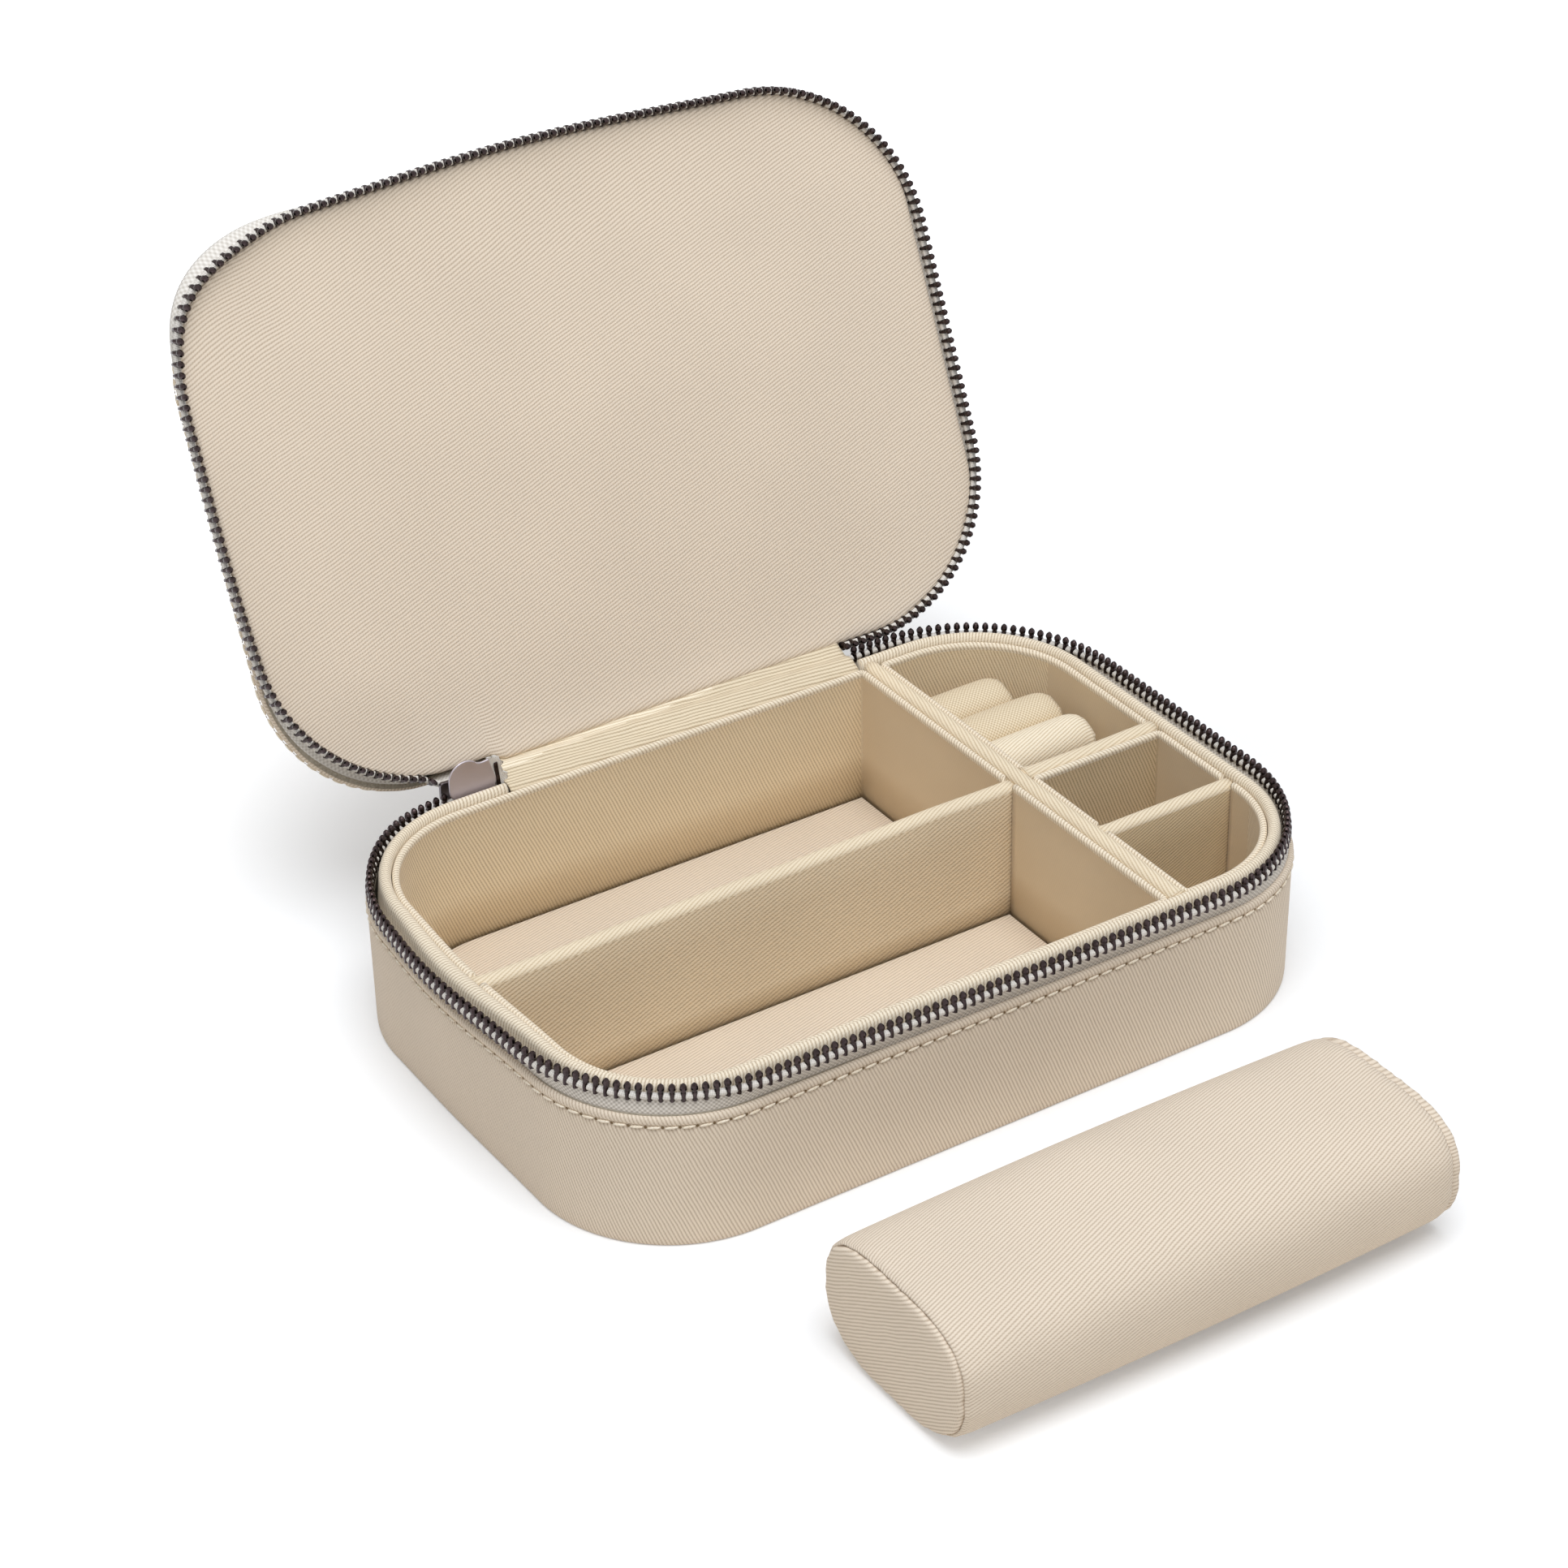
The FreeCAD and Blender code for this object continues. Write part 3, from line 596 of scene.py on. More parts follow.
def base_wall():
    """The twill round the outside of the base, turned in under the bottom and over at the hem."""
    bm = bmesh.new()
    foot = [(-1.7, 0.6), (-1.5, 0.1), (-0.8, 0.05), (-0.3, 0.3), (-0.08, 0.9), (0.0, 2.0)]
    foot += [(0.0, height) for height in (6.0, 11.0, 16.0, 21.0, 26.0, 30.0)]
    section = hem_section(HEM_TOP, foot, 1)
    moves = round_outline(CASE, spacing=STITCH_PITCH / 4)
    sweep(bm, section, facing(0, CASE.width / 2), moves, -67.0, puckered(HEM_TOP - STITCH_DROP, HEM_TOP))
    slacken(bm, BASE_SLACK, wall_share)
    piece("base_wall_twill", bm, [case_twill], "base", ["base_wall_cover"])

    bm = bmesh.new()
    section = [(-30.0, 0.45), (-0.6, 0.45), (-0.6, 0.05), (-30.0, 0.05)]
    sweep(bm, section, facing(0, CASE.width / 2), round_outline(CASE), tube=False)
    lay_flat(bm, bm.faces, 0)
    piece("base_bottom_twill", bm, [case_twill], "base", ["base_bottom_cover"])


def follow_wall(bm, lid):
    """Takes what is sewn on a wall along with it."""
    if lid:
        open_lid(bm)
    else:
        slacken(bm, BASE_SLACK, wall_share)


def stitch_row(side, height):
    """Stitches round a hem, each a plump slanted loop of thread between two needle holes."""
    lid = side == "lid"
    name = side + "_hem_stitches"
    pitch = STITCH_PITCH
    lift = -0.1 if lid else 0.1
    hinge_turns = math.ceil(HINGE_HALF / pitch)
    bm = bmesh.new()
    bmesh.ops.create_uvsphere(bm, u_segments=6, v_segments=5, radius=0.5)
    spin(bm, math.pi / 2, "Y")
    size = (STITCH_LENGTH, STITCH_THICKNESS, STITCH_THICKNESS)
    bmesh.ops.scale(bm, vec=size, verts=bm.verts)
    slant = Matrix.Rotation(math.radians(5), 4, "Y")
    spot = Matrix.Translation((0, -0.15 if lid else 0.12, height + lift))
    places = []
    for number in range(hinge_turns, STITCHES_ROUND - hinge_turns):
        places.append(station(CASE, (number + 0.5) * pitch) @ spot @ slant)
    place_copies(bm, places)
    follow_wall(bm, lid)
    piece(name, bm, [thread], side)

    # Small dark discs at the needle holes: painted shade in the holes
    bm = bmesh.new()
    bmesh.ops.create_circle(bm, cap_ends=True, segments=6, radius=0.5)
    spin(bm, -math.pi / 2, "X")
    bmesh.ops.scale(bm, vec=(0.8, 1.0, 0.8), verts=bm.verts)
    places = []
    for number in range(hinge_turns, STITCHES_ROUND - hinge_turns + 1):
        places.append(station(CASE, number * pitch) @ Matrix.Translation((0, -0.12, height)))
    place_copies(bm, places)
    follow_wall(bm, lid)
    piece(name + "_hole_shade", bm, [needle_hole], side)


def hang_loose(bm, lid, folds=()):
    """Hangs a strip of the zip as it hangs when it is undone."""
    if lid:
        slacken(bm, LID_SLACK, lid_share)
        slacken(bm, folds, fold_share)
        draw_in(bm)
        open_lid(bm)
    else:
        slacken(bm, BASE_SLACK, zip_share)
        sag(bm)


def zip_half(side):
    """One tape of the zip, the base's or the lid's, with its cord edge and its row of teeth."""
    lid = side == "lid"
    sign = -1 if lid else 1

    def level(below):
        return ZIP_PLANE - sign * below

    # The lid's half takes the lighter copy of the tape: painted light
    weave = lit_lid_tape_weave if lid else tape_weave
    start = facing(-HINGE_HALF, ZIP.width / 2)
    moves = round_outline(ZIP, -HINGE_HALF, HINGE_HALF)
    bm = bmesh.new()
    outer = [(-1.0, 8.5), (-1.0, 6.0), (-0.95, 5.2), (-0.7, 4.6), (-0.5, 4.0), (-0.2, 3.3), (0.0, 2.6),
             (0.05, 2.0), (0.1, 1.4)]
    inner = [(out - 0.5, below) for out, below in reversed(outer)]
    sweep(bm, [(out, level(below)) for out, below in outer + inner], start, moves, 0.0)
    for vert in bm.verts:
        depth = (onto(ZIP, vert.co) - vert.co).length
        sewn = onto(CASE, vert.co, -depth)
        below = sign * (ZIP_PLANE - vert.co.z)
        vert.co = vert.co.lerp(sewn, ease(2.6, 5.2, below))
    hang_loose(bm, lid, TAPE_FOLD)
    piece(side + "_zip_tape_weave", bm, [weave], side, [side + "_zip_tape"])

    bm = bmesh.new()
    sweep(bm, ring_section(0.0, level(1.5), 0.85), start, moves, 35.0)
    hang_loose(bm, lid)
    piece(side + "_zip_cord", bm, [cord_weave], side)

    bm = bmesh.new()
    bmesh.ops.create_circle(bm, cap_ends=True, segments=8, radius=0.5)
    spin(bm, math.pi / 8, "Z")
    legs = [(1.35, 2.3, -2.45), (1.4, 2.4, -1.2), (1.3, 1.9, -0.45), (1.25, 1.6, -0.15)]
    head = [(1.7, 1.75, 0.3), (1.75, 1.75, 0.85), (1.35, 1.4, 1.35), (0.65, 0.8, 1.7)]
    grow(bm, legs + head)
    if lid:
        spin(bm, math.pi, "Y")
    first = TEETH_START + (TOOTH_PITCH / 2 if lid else 0)
    end = ZIP.way_round() - HINGE_HALF
    places = []
    while first < end:
        places.append(station(ZIP, first) @ Matrix.Translation((0, 0, ZIP_PLANE)))
        first += TOOTH_PITCH
    place_copies(bm, places)
    hang_loose(bm, lid)
    piece(side + "_zip_teeth_metal", bm, [tooth_metal], side, [side + "_zip_teeth"],
          smooth=False)


def collar():
    """The padded rim inside the zip, its ribs running across it, open at the hinge."""
    top = COLLAR_TOP
    section = [
        (-4.4, 31.0), (-2.7, 31.5), (-2.7, 35.5), (-3.1, 39.4), (-3.25, 41.0), (-3.5, 41.8),
        (-4.0, top - 0.25), (-4.7, top), (-5.4, top - 0.2), (-5.95, top - 0.8), (-6.15, top - 1.7),
        (-6.1, top - 2.6), (-6.1, 31.0),
    ]
    bm = bmesh.new()
    moves = round_outline(CASE, -HINGE_HALF, HINGE_HALF, spacing=1.5)
    sweep(bm, section, facing(-HINGE_HALF, CASE.width / 2), moves, 84.0)
    slacken(bm, BASE_SLACK, rim_share)
    # The collar is drawn in the lighter rim cloth: painted light on the rim
    padded = piece("collar_rim", bm, [lit_rim_twill], "base", ["collar"])


def liner(bay, from_back, first_corner, second_corner, cloth):
    """A wrapped board round three walls of a bay, with a narrow rounded rim."""
    low, high = node_box("liner_" + bay)
    across = high.x - low.x
    deep = high.y - low.y
    top = high.z
    thick = LINER_THICK
    section = [
        (0.0, BOARD_TOP), (0.0, top - 0.7), (-0.15, top - 0.25), (-0.6, top), (-1.1, top - 0.05),
        (-1.55, top - 0.35), (-1.72, top - 0.85), (-1.66, top - 1.35), (-thick, top - 1.7),
        (-thick, top - 8.0), (-thick, top - 16.0), (-thick, top - 24.0), (-thick, BOARD_TOP),
    ]
    ahead = -1 if from_back else 1
    corner = Vector((high.x, high.y, 0)) if from_back else Vector((low.x, low.y, 0))
    turn_one = corner + Vector((ahead * first_corner, ahead * (deep - first_corner), 0))
    turn_two = corner + Vector((ahead * (across - second_corner), ahead * (deep - second_corner), 0))
    moves = [
        go(0, ahead * (deep - first_corner)),
        turn(turn_one.x, turn_one.y, -90, first_corner, 1.5),
        go(ahead * (across - first_corner - second_corner), 0),
        turn(turn_two.x, turn_two.y, -90, second_corner, 1.5),
        go(0, -ahead * (deep - second_corner)),
    ]
    bm = bmesh.new()
    sweep(bm, section, facing(corner.x, corner.y, -90 if from_back else 90), moves, 66.5)
    # The liner's rim takes the lighter rim cloth: painted light on its top
    for face in bm.faces:
        face.normal_update()
        rim = max(vert.co.z for vert in face.verts) > top - 1.5
        if abs(face.normal.x) > 0.97 and not rim:
            face.material_index = 1
        if rim:
            face.material_index = 2
    slacken(bm, BASE_SLACK, rim_share)
    piece("liner_" + bay + "_wrap", bm, [cloth, smooth_twill, lit_rim_twill], "base", ["liner_" + bay])


def divider(name, along_x, lean, cloth):
    """A wrapped board standing between bays, rounded over at the top."""
    low, high = node_box(name)
    wide = high.y - low.y if along_x else high.x - low.x
    half = wide / 2
    top = high.z
    drop = 1.6
    section = [(half, BOARD_TOP)] + [(half, height) for height in (10.0, 20.0, 30.0)]
    for number in range(9):
        angle = math.pi * number / 8
        section.append((half * math.cos(angle), top - drop + drop * math.sin(angle)))
    section += [(-half, height) for height in (30.0, 20.0, 10.0, BOARD_TOP)]

    def sway(travel, out, up):
        if up < top - 3:
            return out, up
        tuck = 0.5 * max(0.0, 1 - travel / 2.5)
        wave = 0.1 * math.sin(travel / 11.0 + low.y) + 0.06 * math.sin(travel / 4.7)
        return out * (1 + 0.3 * tuck), up + tuck + wave

    bm = bmesh.new()
    if along_x:
        start = facing(low.x, (low.y + high.y) / 2, 180)
        # A dark slit shows where the divider stops short of the wall at its right
        sweep(bm, section, start, [go(high.x - low.x - 0.4, 0)], lean, sway)
    else:
        start = facing((low.x + high.x) / 2, low.y, 90)
        sweep(bm, section, start, [go(0, high.y - low.y)], lean, sway)
    slacken(bm, BASE_SLACK, rim_share)
    # The rounded top takes the lighter top cloth: painted light on the top
    for face in bm.faces:
        face.material_index = 1 if face.calc_center_median().z > top - drop else 0
    piece(name + "_wrap", bm, [cloth, lit_top_twill], "base", [name])


def round_corners(bm, verts, radii, segments):
    """Rounds the corners of a flat outline, each to its own radius."""
    for vert, radius in zip(verts, radii):
        if radius:
            bmesh.ops.bevel(bm, geom=[vert], offset=radius, offset_type="OFFSET", affect="VERTICES",
                            segments=segments, profile=0.5, material=-1)


def pad(node, corners):
    """A covered pad on the bottom board; corners are its radii, from the front left by the front right."""
    low, high = node_box(node)
    gap = 0.45
    bm = bmesh.new()
    spots = ((low.x, low.y), (high.x, low.y), (high.x, high.y), (low.x, high.y))
    middle = (low + high) / 2
    verts = []
    for x, y in spots:
        inward = Vector((math.copysign(gap, middle.x - x), math.copysign(gap, middle.y - y), 0))
        verts.append(bm.verts.new(Vector((x, y, low.z)) + inward))
    bm.faces.new(verts)
    round_corners(bm, verts, corners, 18)
    made = bmesh.ops.extrude_face_region(bm, geom=bm.faces[:])["geom"]
    bmesh.ops.translate(bm, vec=(0, 0, high.z - low.z), verts=verts_of(made))
    top_edges = [item for item in made if isinstance(item, bmesh.types.BMEdge)]
    bmesh.ops.bevel(bm, geom=top_edges, offset=0.6, offset_type="OFFSET", affect="EDGES", segments=3,
                    profile=0.5, material=-1)
    lay_flat(bm, bm.faces, 14.0)
    return piece(node + "_cover", bm, [case_twill], "base", [node])


def ring_holder():
    """Three stuffed tubes side by side on a foam block, cut off at the right."""
    pad("ring_foam_base", (0, 0, PAD_ROUND, 0))

    cloths = {"front": roll_twill, "middle": basket_cotton, "back": basket_cotton}
    for roll, cloth in cloths.items():
        low, high = node_box("ring_roll_" + roll)
        half = (high.y - low.y) / 2
        crown = 5.4
        section = [(half - 0.3, low.z), (half, (low.z + high.z) / 2)]
        for number in range(17):
            angle = math.pi * number / 16
            section.append((half * math.cos(angle), high.z - crown + crown * math.sin(angle)))
        section += [(-half, (low.z + high.z) / 2), (0.3 - half, low.z)]
        long = high.x - low.x

        def stuffed(travel, out, up):
            end = max(0.0, 1 - (long - travel) / 4.0)
            return out, up - 0.9 * end ** 2 - 0.12 * math.sin(travel / 6.0 + low.y)

        bm = bmesh.new()
        lean = 20.0 if roll == "front" else 0.0
        sweep(bm, section, facing(low.x, (low.y + high.y) / 2, 180), [go(long, 0, 1.0)], lean, stuffed)
        for vert in bm.verts:
            if high.x - vert.co.x < 0.01:
                vert.co.x += 0.25 * math.sin(vert.co.y * 3.1) + 0.2 * math.sin(vert.co.z * 2.3)
        node = "ring_roll_" + roll
        piece(node + "_cover", bm, [cloth], "base", [node])


def hinge_cloth(name, section, node, lean, folds=None, pale=None):
    """A strip of twill across the hinge, sewn to the base by its first edge and to the lid by its last."""
    half = HINGE_HALF - 1.0
    bm = bmesh.new()
    moves = [go(2 * half, 0, 1.0)]
    reach = sweep(bm, section, facing(-half, 0), moves, lean, tube=False, fill=False)
    if folds:
        for vert in bm.verts:
            vert.co.z += folds(vert.co.x / half, vert.co.y)
    if pale:
        for face in bm.faces:
            middle = face.calc_center_median()
            face.material_index = 1 if pale(middle.x / half, middle.y) else 0
    made = piece(name, bm, [lining_twill, roll_twill], None, [node])
    wall = made.modifiers.new("cloth_thickness", "SOLIDIFY")
    wall.thickness = 0.4 * MM
    wall.offset = 0.0
    return made, (2 * half * MM, reach * MM)


def lining_folds(share, y):
    """Soft creases of the lining, wide at the left and running together at the right."""
    reach = (y - 66.0) / 11.0
    if reach <= 0:
        return 0.0
    spread = 0.62 - 0.2 * share
    crease = math.exp(-((reach - spread) / 0.1) ** 2)
    ridge = math.exp(-((reach - spread + 0.25) / 0.13) ** 2)
    second = math.exp(-((reach - 0.85 + 0.1 * share) / 0.07) ** 2)
    edge = min(1.0, (1 - reach) * 6.0) if reach < 1 else 0.0
    return edge * (0.55 * ridge - 0.5 * crease + 0.35 * second + 0.12 * math.sin(9 * share + 6 * reach))


def pale_fold(share, y):
    """The lining's fold under the lid, pulled smooth and paler: a strip that narrows from its left end."""
    tip, tip_y, widening = 0.3, 74.2, 2.8
    return share < tip and y > tip_y - widening * (tip - share)


def hinge():
    high = node_box("hinge_lining")[1]
    lining = [(64.1, 30.0), (64.1, 35.0), (64.15, 39.0), (64.5, 40.3), (65.3, 41.0)]
    lining += [(66.0 + step * 0.7, 41.25 + step * 0.135) for step in range(16)]
    lining += [(high.y, high.z - 0.25)]
    cloth, flat = hinge_cloth("hinge_lining_cloth", lining, "hinge_lining", -4.0, lining_folds, pale_fold)
    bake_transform(cloth)

    spine = [(68.4, 33.5), (68.5, 36.2), (69.6, 36.75), (71.2, 37.1), (72.6, 37.6), (74.0, 38.4),
             (75.2, 39.4), (76.2, 40.4), (76.9, 41.2), (77.2, 41.7)]
    cloth, flat = hinge_cloth("hinge_spine_cloth", spine, "hinge_spine", -73.0)
    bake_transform(cloth)


def lid_cover():
    """The twill over the lid: stitched hem, rounded edge and slightly crowned top."""
    bm = bmesh.new()
    top = LID_TOP
    over = []
    for number in range(9):
        angle = math.pi / 2 * number / 8
        over.append((-LID_EDGE * (1 - math.cos(angle)), top - LID_EDGE + LID_EDGE * math.sin(angle)))
    crown = [(-14.0, top + 0.15), (-22.0, top + 0.3), (-30.0, top + 0.4)]
    skin = hem_section(LID_HEM, [], -1)
    lower = [(out, min(up, top - LID_EDGE + 4.0)) for out, up in skin]
    outer = [spot for spot in reversed(lower) if spot[1] < top - LID_EDGE or spot[0] < -1.0]
    section = [(-30.0, top - 0.6), (-9.0, top - 1.2), (-1.7, top - 5.0)] + outer + over + crown
    moves = round_outline(CASE, spacing=STITCH_PITCH / 4)
    shape = puckered(LID_HEM + STITCH_DROP, LID_HEM)
    sweep(bm, section, facing(0, CASE.width / 2), moves, 67.0, shape, tube=False)
    flat_faces = [face for face in bm.faces if face.calc_center_median().z > top - 2.5]
    lay_flat(bm, flat_faces, -19.5, (RIGHT, BACK))
    open_lid(bm)
    piece("lid_cover_twill", bm, [case_twill], "lid", ["lid_cover"])


def lid_panel():
    """The padded panel inside the lid, soft at its edge and barely crowned."""
    section = [
        (-30.0, 48.2), (-1.7, 48.2), (-1.2, 47.3), (-0.7, 46.3), (-0.55, 45.2), (-0.65, 44.4),
        (-1.1, 43.9), (-1.9, 43.75), (-3.2, 43.9), (-5.0, 44.2), (-8.0, 44.55), (-12.0, 44.85),
        (-18.0, 45.0), (-24.0, 45.0), (-30.0, 45.0),
    ]
    bm = bmesh.new()
    sweep(bm, section, facing(0, CASE.width / 2), round_outline(CASE), tube=False)
    lay_flat(bm, bm.faces, -19.5, (RIGHT, BACK))
    # The zip cuts the corners shorter than the case does, and the panel's edge stays inside it
    edge_top = 47.0
    for vert in bm.verts:
        inside = onto(ZIP, vert.co, -0.8)
        outward = onto(ZIP, vert.co) - inside
        if vert.co.z < edge_top and (vert.co - inside).dot(outward) > 0:
            vert.co = inside
    slacken(bm, LID_SLACK, lid_share)
    # Room for the slider, which stands inside the closed lid
    draw_in(bm, SLIDER_ROOM)
    open_lid(bm)
    made = piece("lid_panel_twill", bm, [case_twill], "lid", ["lid_inner_panel", "lid_wadding"])


def plate(bm, spots, rounds, y0, y1):
    """An upright plate cut to (x, z) spots, each corner rounded, between two depths."""
    verts = [bm.verts.new((x, y0, z)) for x, z in spots]
    bm.faces.new(verts)
    round_corners(bm, verts, rounds, 8)
    face = [item for item in bm.faces if all(abs(vert.co.y - y0) < 0.001 for vert in item.verts)]
    made = bmesh.ops.extrude_face_region(bm, geom=face)["geom"]
    bmesh.ops.translate(bm, vec=(0, y1 - y0, 0), verts=verts_of(made))


def soften(bm, offset):
    """Rounds off the edges of both faces of a plate."""
    rims = [edge for edge in bm.edges if abs(edge.verts[0].co.y - edge.verts[1].co.y) < 0.001]
    bmesh.ops.bevel(bm, geom=rims, offset=offset, affect="EDGES", segments=2, profile=0.5, material=-1)


def slider():
    """The zip slider: two plates with a round nose and a flared tail, and the zip's end stop beside them."""
    low, high = node_box("slider_body")
    nose, tail, top = low.x - 0.6, high.x - 0.6, 50.9
    inner = (low.y - 0.15, low.y + 0.45)
    spots = [(nose, low.z + 0.4), (nose, top), (-59.7, top), (-57.9, 49.0), (-55.0, 49.3), (tail, 43.1),
             (tail - 0.5, low.z + 1.2)]
    rounds = [3.4, 4.6, 1.5, 1.3, 0.2, 0.6, 0.5]
    bm = bmesh.new()
    plate(bm, spots, rounds, *inner)
    soften(bm, 0.22)
    piece("slider_inner_plate", bm, [slider_metal], "slider", ["slider_body"], smooth=False)

    bm = bmesh.new()
    spots = [(low.x - 1.0, low.z - 1.0), (low.x - 1.0, 44.1), (-57.0, 43.4), (tail, 43.0),
             (tail, low.z - 1.0)]
    plate(bm, spots, [1.2, 0.9, 1.3, 0.6, 0.5], high.y - 1.1, high.y)
    soften(bm, 0.22)
    piece("slider_outer_plate", bm, [tab_metal], "slider", [], smooth=False)

    bm = bmesh.new()
    spots = [(-53.0, 41.0), (-53.6, 47.6), (-52.6, 47.8), (-51.9, 41.0)]
    plate(bm, spots, [0.2, 0.3, 0.3, 0.2], *inner)
    soften(bm, 0.15)
    piece("zip_end_stop", bm, [tooth_metal], "base", [], smooth=False)


def torn_tape():
    """The cut ends of both zip tapes, standing up beside the slider with a ragged edge."""
    bm = bmesh.new()
    bmesh.ops.create_grid(bm, x_segments=8, y_segments=14, size=0.5)
    wide, tall = 4.6, 12.4
    bmesh.ops.scale(bm, vec=(wide, tall, 1.0), verts=bm.verts)
    lay_flat(bm, bm.faces, 0, (RIGHT, BACK))
    for vert in bm.verts:
        across = vert.co.x / wide + 0.5
        height = vert.co.y / tall + 0.5
        ragged = 0.5 * math.sin(17 * height) + 0.35 * math.sin(41 * height + 1.0)
        lean = 4.3 * (0.45 - height) + across * ragged
        crumple = 0.12 * math.sin(9 * height + 4 * across) + 0.08 * math.sin(21 * height)
        x = -53.6 + across * 3.4 + lean * (0.8 + 0.2 * across)
        vert.co = (x, 67.9 + crumple, 37.6 + 12.2 * height)
    bmesh.ops.solidify(bm, geom=bm.faces[:], thickness=0.4)
    piece("zip_tape_end", bm, [cord_weave], "base", [])


CUSHION_SIDES = 96
CUSHION_LIP = 1.0
FLOOR_GAP = 0.05
PRESSED_OUT = 0.8


def cushion_spot(turned, middle_y, middle_z, half_deep, half_high, draw):
    """A point of the cushion's outline, in (y, z): a soft rectangle, rounder below, drawn in by a length."""
    softness = 3.0 if math.sin(turned) > 0 else 2.4
    wide = abs(math.cos(turned) / half_deep) ** softness
    tall = abs(math.sin(turned) / half_high) ** softness
    reach = (wide + tall) ** (-1 / softness) - draw
    return middle_y + reach * math.cos(turned), max(FLOOR_GAP + draw, middle_z + reach * math.sin(turned))


def stuff(made, held):
    """Lets the stuffing press a cover outwards a little, held where a test of its points says so."""
    cap = PRESSED_OUT * MM
    seams = made.vertex_groups.new(name="seams")
    seams.add([vert.index for vert in made.data.vertices if held(vert.co)], 1.0, "REPLACE")
    stuffing = made.modifiers.new("stuffing", "CLOTH")
    stuffing.settings.use_pressure = True
    stuffing.settings.uniform_pressure_force = 4.0
    stuffing.settings.vertex_group_mass = "seams"
    stuffing.settings.effector_weights.gravity = 0.0
    scene = bpy.context.scene
    for number in range(1, 21):
        scene.frame_set(number)
    pressed = made.evaluated_get(bpy.context.evaluated_depsgraph_get())
    spots = [vert.co.copy() for vert in pressed.data.vertices]
    made.modifiers.remove(stuffing)
    scene.frame_set(1)
    for vert, spot in zip(made.data.vertices, spots):
        move = spot - vert.co
        if move.length > cap:
            move = move.normalized() * cap
        vert.co += move
        vert.co.z = max(vert.co.z, FLOOR_GAP * MM)


def cushion():
    """The bracelet cushion: a stuffed sleeve turned in at both ends, with a flat cap sewn into each."""
    low, high = node_box("cushion_sleeve")
    half_deep = (high.y - low.y) / 2
    middle_y = (low.y + high.y) / 2
    middle_z, half_high = 16.2, 16.6
    long = high.x - low.x
    turns = [2 * math.pi * (number + 0.5) / CUSHION_SIDES - math.pi / 2 for number in range(CUSHION_SIDES)]
    section = [cushion_spot(turned, 0.0, middle_z, half_deep, half_high, 0.0) for turned in turns]

    def drawn_in(travel, out, up):
        from_lip = min(travel, long + 2 * CUSHION_LIP - travel) - CUSHION_LIP
        turned = math.atan2(up - middle_z, out)
        pucker = 0.1 * math.sin(19 * turned) + 0.1 * math.sin(31 * turned + 1.3)
        draw = 0.5 * max(0.0, 1 - from_lip / 5.0) ** 2 + pucker * max(0.0, 1 - abs(from_lip) / 8.0)
        draw -= 0.9 * math.sin(math.pi * max(0.0, from_lip) / long)
        if from_lip < 0.6:
            draw += 0.15 + 0.95 * min(1.0, (0.6 - from_lip) / 1.6)
        return cushion_spot(turned, 0.0, middle_z, half_deep, half_high, draw)

    bm = bmesh.new()
    moves = [go(-CUSHION_LIP, 0, 0.5), go(0.6, 0, 0.3), go(long - 1.2, 0, 1.5), go(0.6, 0, 0.3),
             go(-CUSHION_LIP, 0, 0.5)]
    sweep(bm, section, facing(low.x + CUSHION_LIP, middle_y, 180), moves, 20.0, drawn_in)
    nodes = ["cushion_sleeve", "cushion_core"]
    made = piece("cushion_sleeve_twill", bm, [case_twill], "cushion", nodes)
    seam_left = (low.x + 2.5) * MM
    seam_right = (high.x - 2.5) * MM
    stuff(made, lambda spot: spot.x < seam_left or spot.x > seam_right)

    flat = [(1, 1, -0.4), (1, 1, 0.6), (1, 1, 1.5), (0.99, 0.985, 1.85), (0.96, 0.94, 2.1),
            (0.86, 0.82, 2.3), (0.6, 0.55, 2.4)]
    proud = [(1, 1, -0.4), (1, 1, 1.0), (1.015, 1.02, 1.8), (1.015, 1.02, 2.8), (1.0, 0.995, 3.2),
             (0.97, 0.95, 3.4), (0.86, 0.82, 3.5), (0.6, 0.55, 3.6)]
    for side, seam_x, outward, rings in (("left", low.x, -1, flat), ("right", high.x, 1, proud)):
        bm = bmesh.new()
        bmesh.ops.create_circle(bm, cap_ends=True, segments=CUSHION_SIDES, radius=1.0)
        for vert in bm.verts:
            turned = math.atan2(vert.co.y, vert.co.x)
            draw = 1.4 + 0.12 * math.sin(23 * turned) + 0.1 * math.sin(37 * turned + 0.6)
            y, z = cushion_spot(turned, 0.0, middle_z, half_deep, half_high, draw)
            vert.co = (y, z - middle_z, 0)
        grow(bm, rings)
        upright = Matrix(((0, 0, outward), (1, 0, 0), (0, 1, 0))).to_4x4()
        seat = Matrix.Translation((seam_x - outward * 0.9, middle_y, middle_z))
        bmesh.ops.transform(bm, matrix=seat @ upright, verts=bm.verts)
        lay_flat(bm, bm.faces, 148.4, (BACK, UP))
        node = "cushion_cap_" + side
        piece(node + "_twill", bm, [case_twill], "cushion", [node])


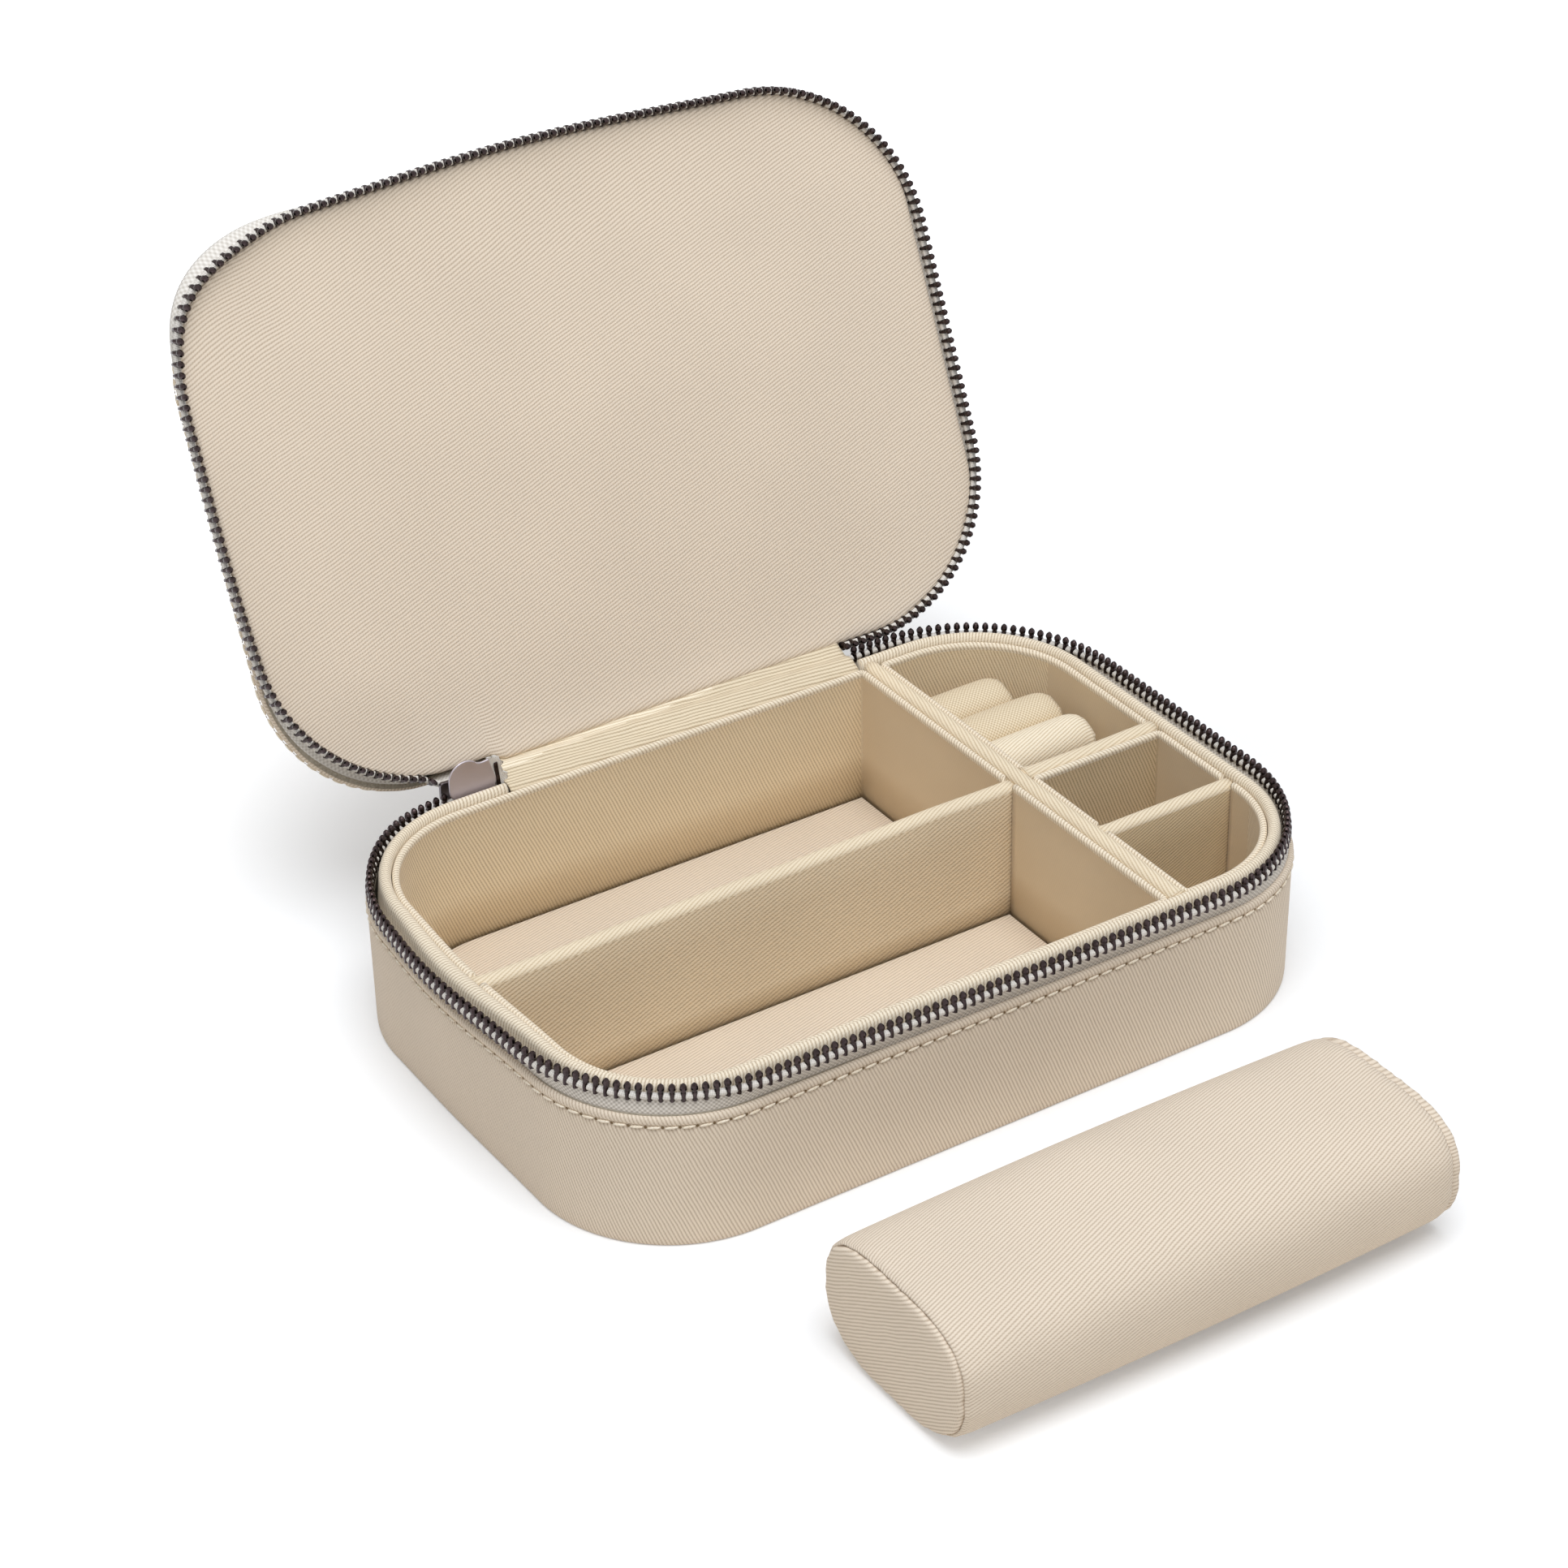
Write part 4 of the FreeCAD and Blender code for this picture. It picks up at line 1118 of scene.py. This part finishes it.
def camera():
    """The photograph's viewpoint: 32.5 degrees to the left of the front, looking 32.3 degrees down."""
    turned = math.radians(-32.49)
    raised = math.radians(32.29)
    rolled = math.radians(-1.07)
    distance = 998.9
    aim_right = 12.02
    aim_up = -48.78
    focal_pixels = 5055.3
    image_pixels = 1932
    flat = math.cos(raised)
    back = Vector((math.sin(turned) * flat, -math.cos(turned) * flat, math.sin(raised)))
    level = (-back).cross(UP).normalized()
    upright = level.cross(-back)
    across = level * math.cos(rolled) + upright * math.sin(rolled)
    above = upright * math.cos(rolled) - level * math.sin(rolled)
    place = back * distance - across * aim_right - above * aim_up
    view = bpy.data.cameras.new("photo_view")
    view.sensor_width = 36.0
    view.lens = view.sensor_width * focal_pixels / image_pixels
    made = stand("photo_view", view)
    axes = Matrix((across, above, back)).transposed()
    made.matrix_world = Matrix.Translation(place * MM) @ axes.to_4x4()
    bpy.context.scene.camera = made


def soft_light(name, place, target, size, watts):
    lamp = bpy.data.lights.new(name, "AREA")
    lamp.shape = "DISK"
    lamp.size = size
    lamp.energy = watts
    made = stand(name, lamp)
    made.location = place
    made.rotation_mode = "QUATERNION"
    made.rotation_quaternion = (Vector(target) - Vector(place)).to_track_quat("-Z", "Y")


def to_the_eye(tree):
    """1 for rays that show the studio to the eye: straight, mirrored or through glass."""
    ray = add(tree, "LightPath", {})
    seen = add(tree, "Math", {0: ray.outputs["Is Camera Ray"], 1: ray.outputs["Is Glossy Ray"]},
               operation="MAXIMUM")
    through = add(tree, "Math", {0: seen, 1: ray.outputs["Is Transmission Ray"]}, operation="MAXIMUM")
    return through


def studio():
    """A white sweep under soft light from above, with the object's own shadow left on it."""
    scene = bpy.context.scene
    scene.view_settings.view_transform = "Standard"
    world = bpy.data.worlds.new("studio_air")
    world.use_nodes = True
    tree = world.node_tree
    tree.nodes.clear()
    air = add(tree, "Background", {"Color": (0.99, 0.995, 1.0, 1.0), "Strength": 0.36})
    white = add(tree, "Background", {"Color": (1.0, 1.0, 1.0, 1.0), "Strength": 1.0})
    both = add(tree, "MixShader", {0: to_the_eye(tree), 1: air, 2: white})
    add(tree, "OutputWorld", {"Surface": both})
    scene.world = world

    soft_light("overhead_softbox", (-0.16, -0.4, 1.4), (0, 0, 0), 1.2, 15.7)

    bm = bmesh.new()
    bmesh.ops.create_grid(bm, x_segments=1, y_segments=1, size=12.0)
    mesh = bpy.data.meshes.new("studio_floor")
    bm.to_mesh(mesh)
    bm.free()
    floor = stand("studio_floor", mesh)
    finish, tree = new_finish("white_paper_sweep")
    paper = add(tree, "BsdfDiffuse", {"Color": colour("#F0F3F7")})
    # The sweep is white to the eye away from the object, and keeps the object's shadow near it
    middle, near, far = (0.03, -0.02, 0.0), 0.135, 0.3
    place = add(tree, "TexCoord", {}).outputs["Object"]
    away = add(tree, "VectorMath", {0: place, 1: middle}, operation="DISTANCE")
    white = add(tree, "MapRange", {
        "Value": away.outputs["Value"], "From Min": near, "From Max": far, "To Min": 0.185, "To Max": 0.85})
    glow = add(tree, "Emission", {"Color": (1.0, 1.0, 1.0, 1.0), "Strength": white})
    lit = add(tree, "AddShader", {0: paper, 1: glow})
    # What the sweep throws back up on the object is a little warmer and weaker than what is seen of it
    bounce = add(tree, "BsdfDiffuse", {"Color": colour("#EFEAE3")})
    both = add(tree, "MixShader", {0: to_the_eye(tree), 1: bounce, 2: lit})
    add(tree, "OutputMaterial", {"Surface": both})
    mesh.materials.append(finish)


camera()
studio()

base_wall()
stitch_row("base", HEM_TOP - STITCH_DROP)
zip_half("base")
collar()

liner("left_back", False, BAY_ROUND, BAY_NOOK, lit_back_twill)
liner("left_front", True, BAY_NOOK, BAY_ROUND, bay_twill)
liner("ring", False, BAY_NOOK, BAY_ROUND, lit_back_twill)
liner("small_back", False, BAY_NOOK, BAY_NOOK, shaded_small_twill)
liner("small_front", True, BAY_ROUND, BAY_NOOK, bay_twill)
divider("long_divider", True, 24.7, divider_twill)
divider("ring_divider", True, 14.0, bay_twill)
divider("small_divider", True, 25.3, shaded_small_twill)
divider("cross_divider", False, 18.0, bay_twill)
pad("floor_left_back", (0, 0, 0, PAD_ROUND))
pad("floor_left_front", (PAD_ROUND, 0, 0, 0))
pad("floor_small_back", (0, 0, 0, 0))
pad("floor_small_front", (0, PAD_ROUND, 0, 0))
ring_holder()
hinge()

lid_cover()
stitch_row("lid", LID_HEM + STITCH_DROP)
lid_panel()
zip_half("lid")
slider()
torn_tape()
cushion()

boards = ("base_wall_board", "base_bottom_board", "lid_board", "lid_wall_board")
for names, finish in ((boards, grey_board), (("slider_crown", "pull_tab"), tab_metal)):
    for name in names:
        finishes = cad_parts[name].data.materials
        finishes.clear()
        finishes.append(finish)
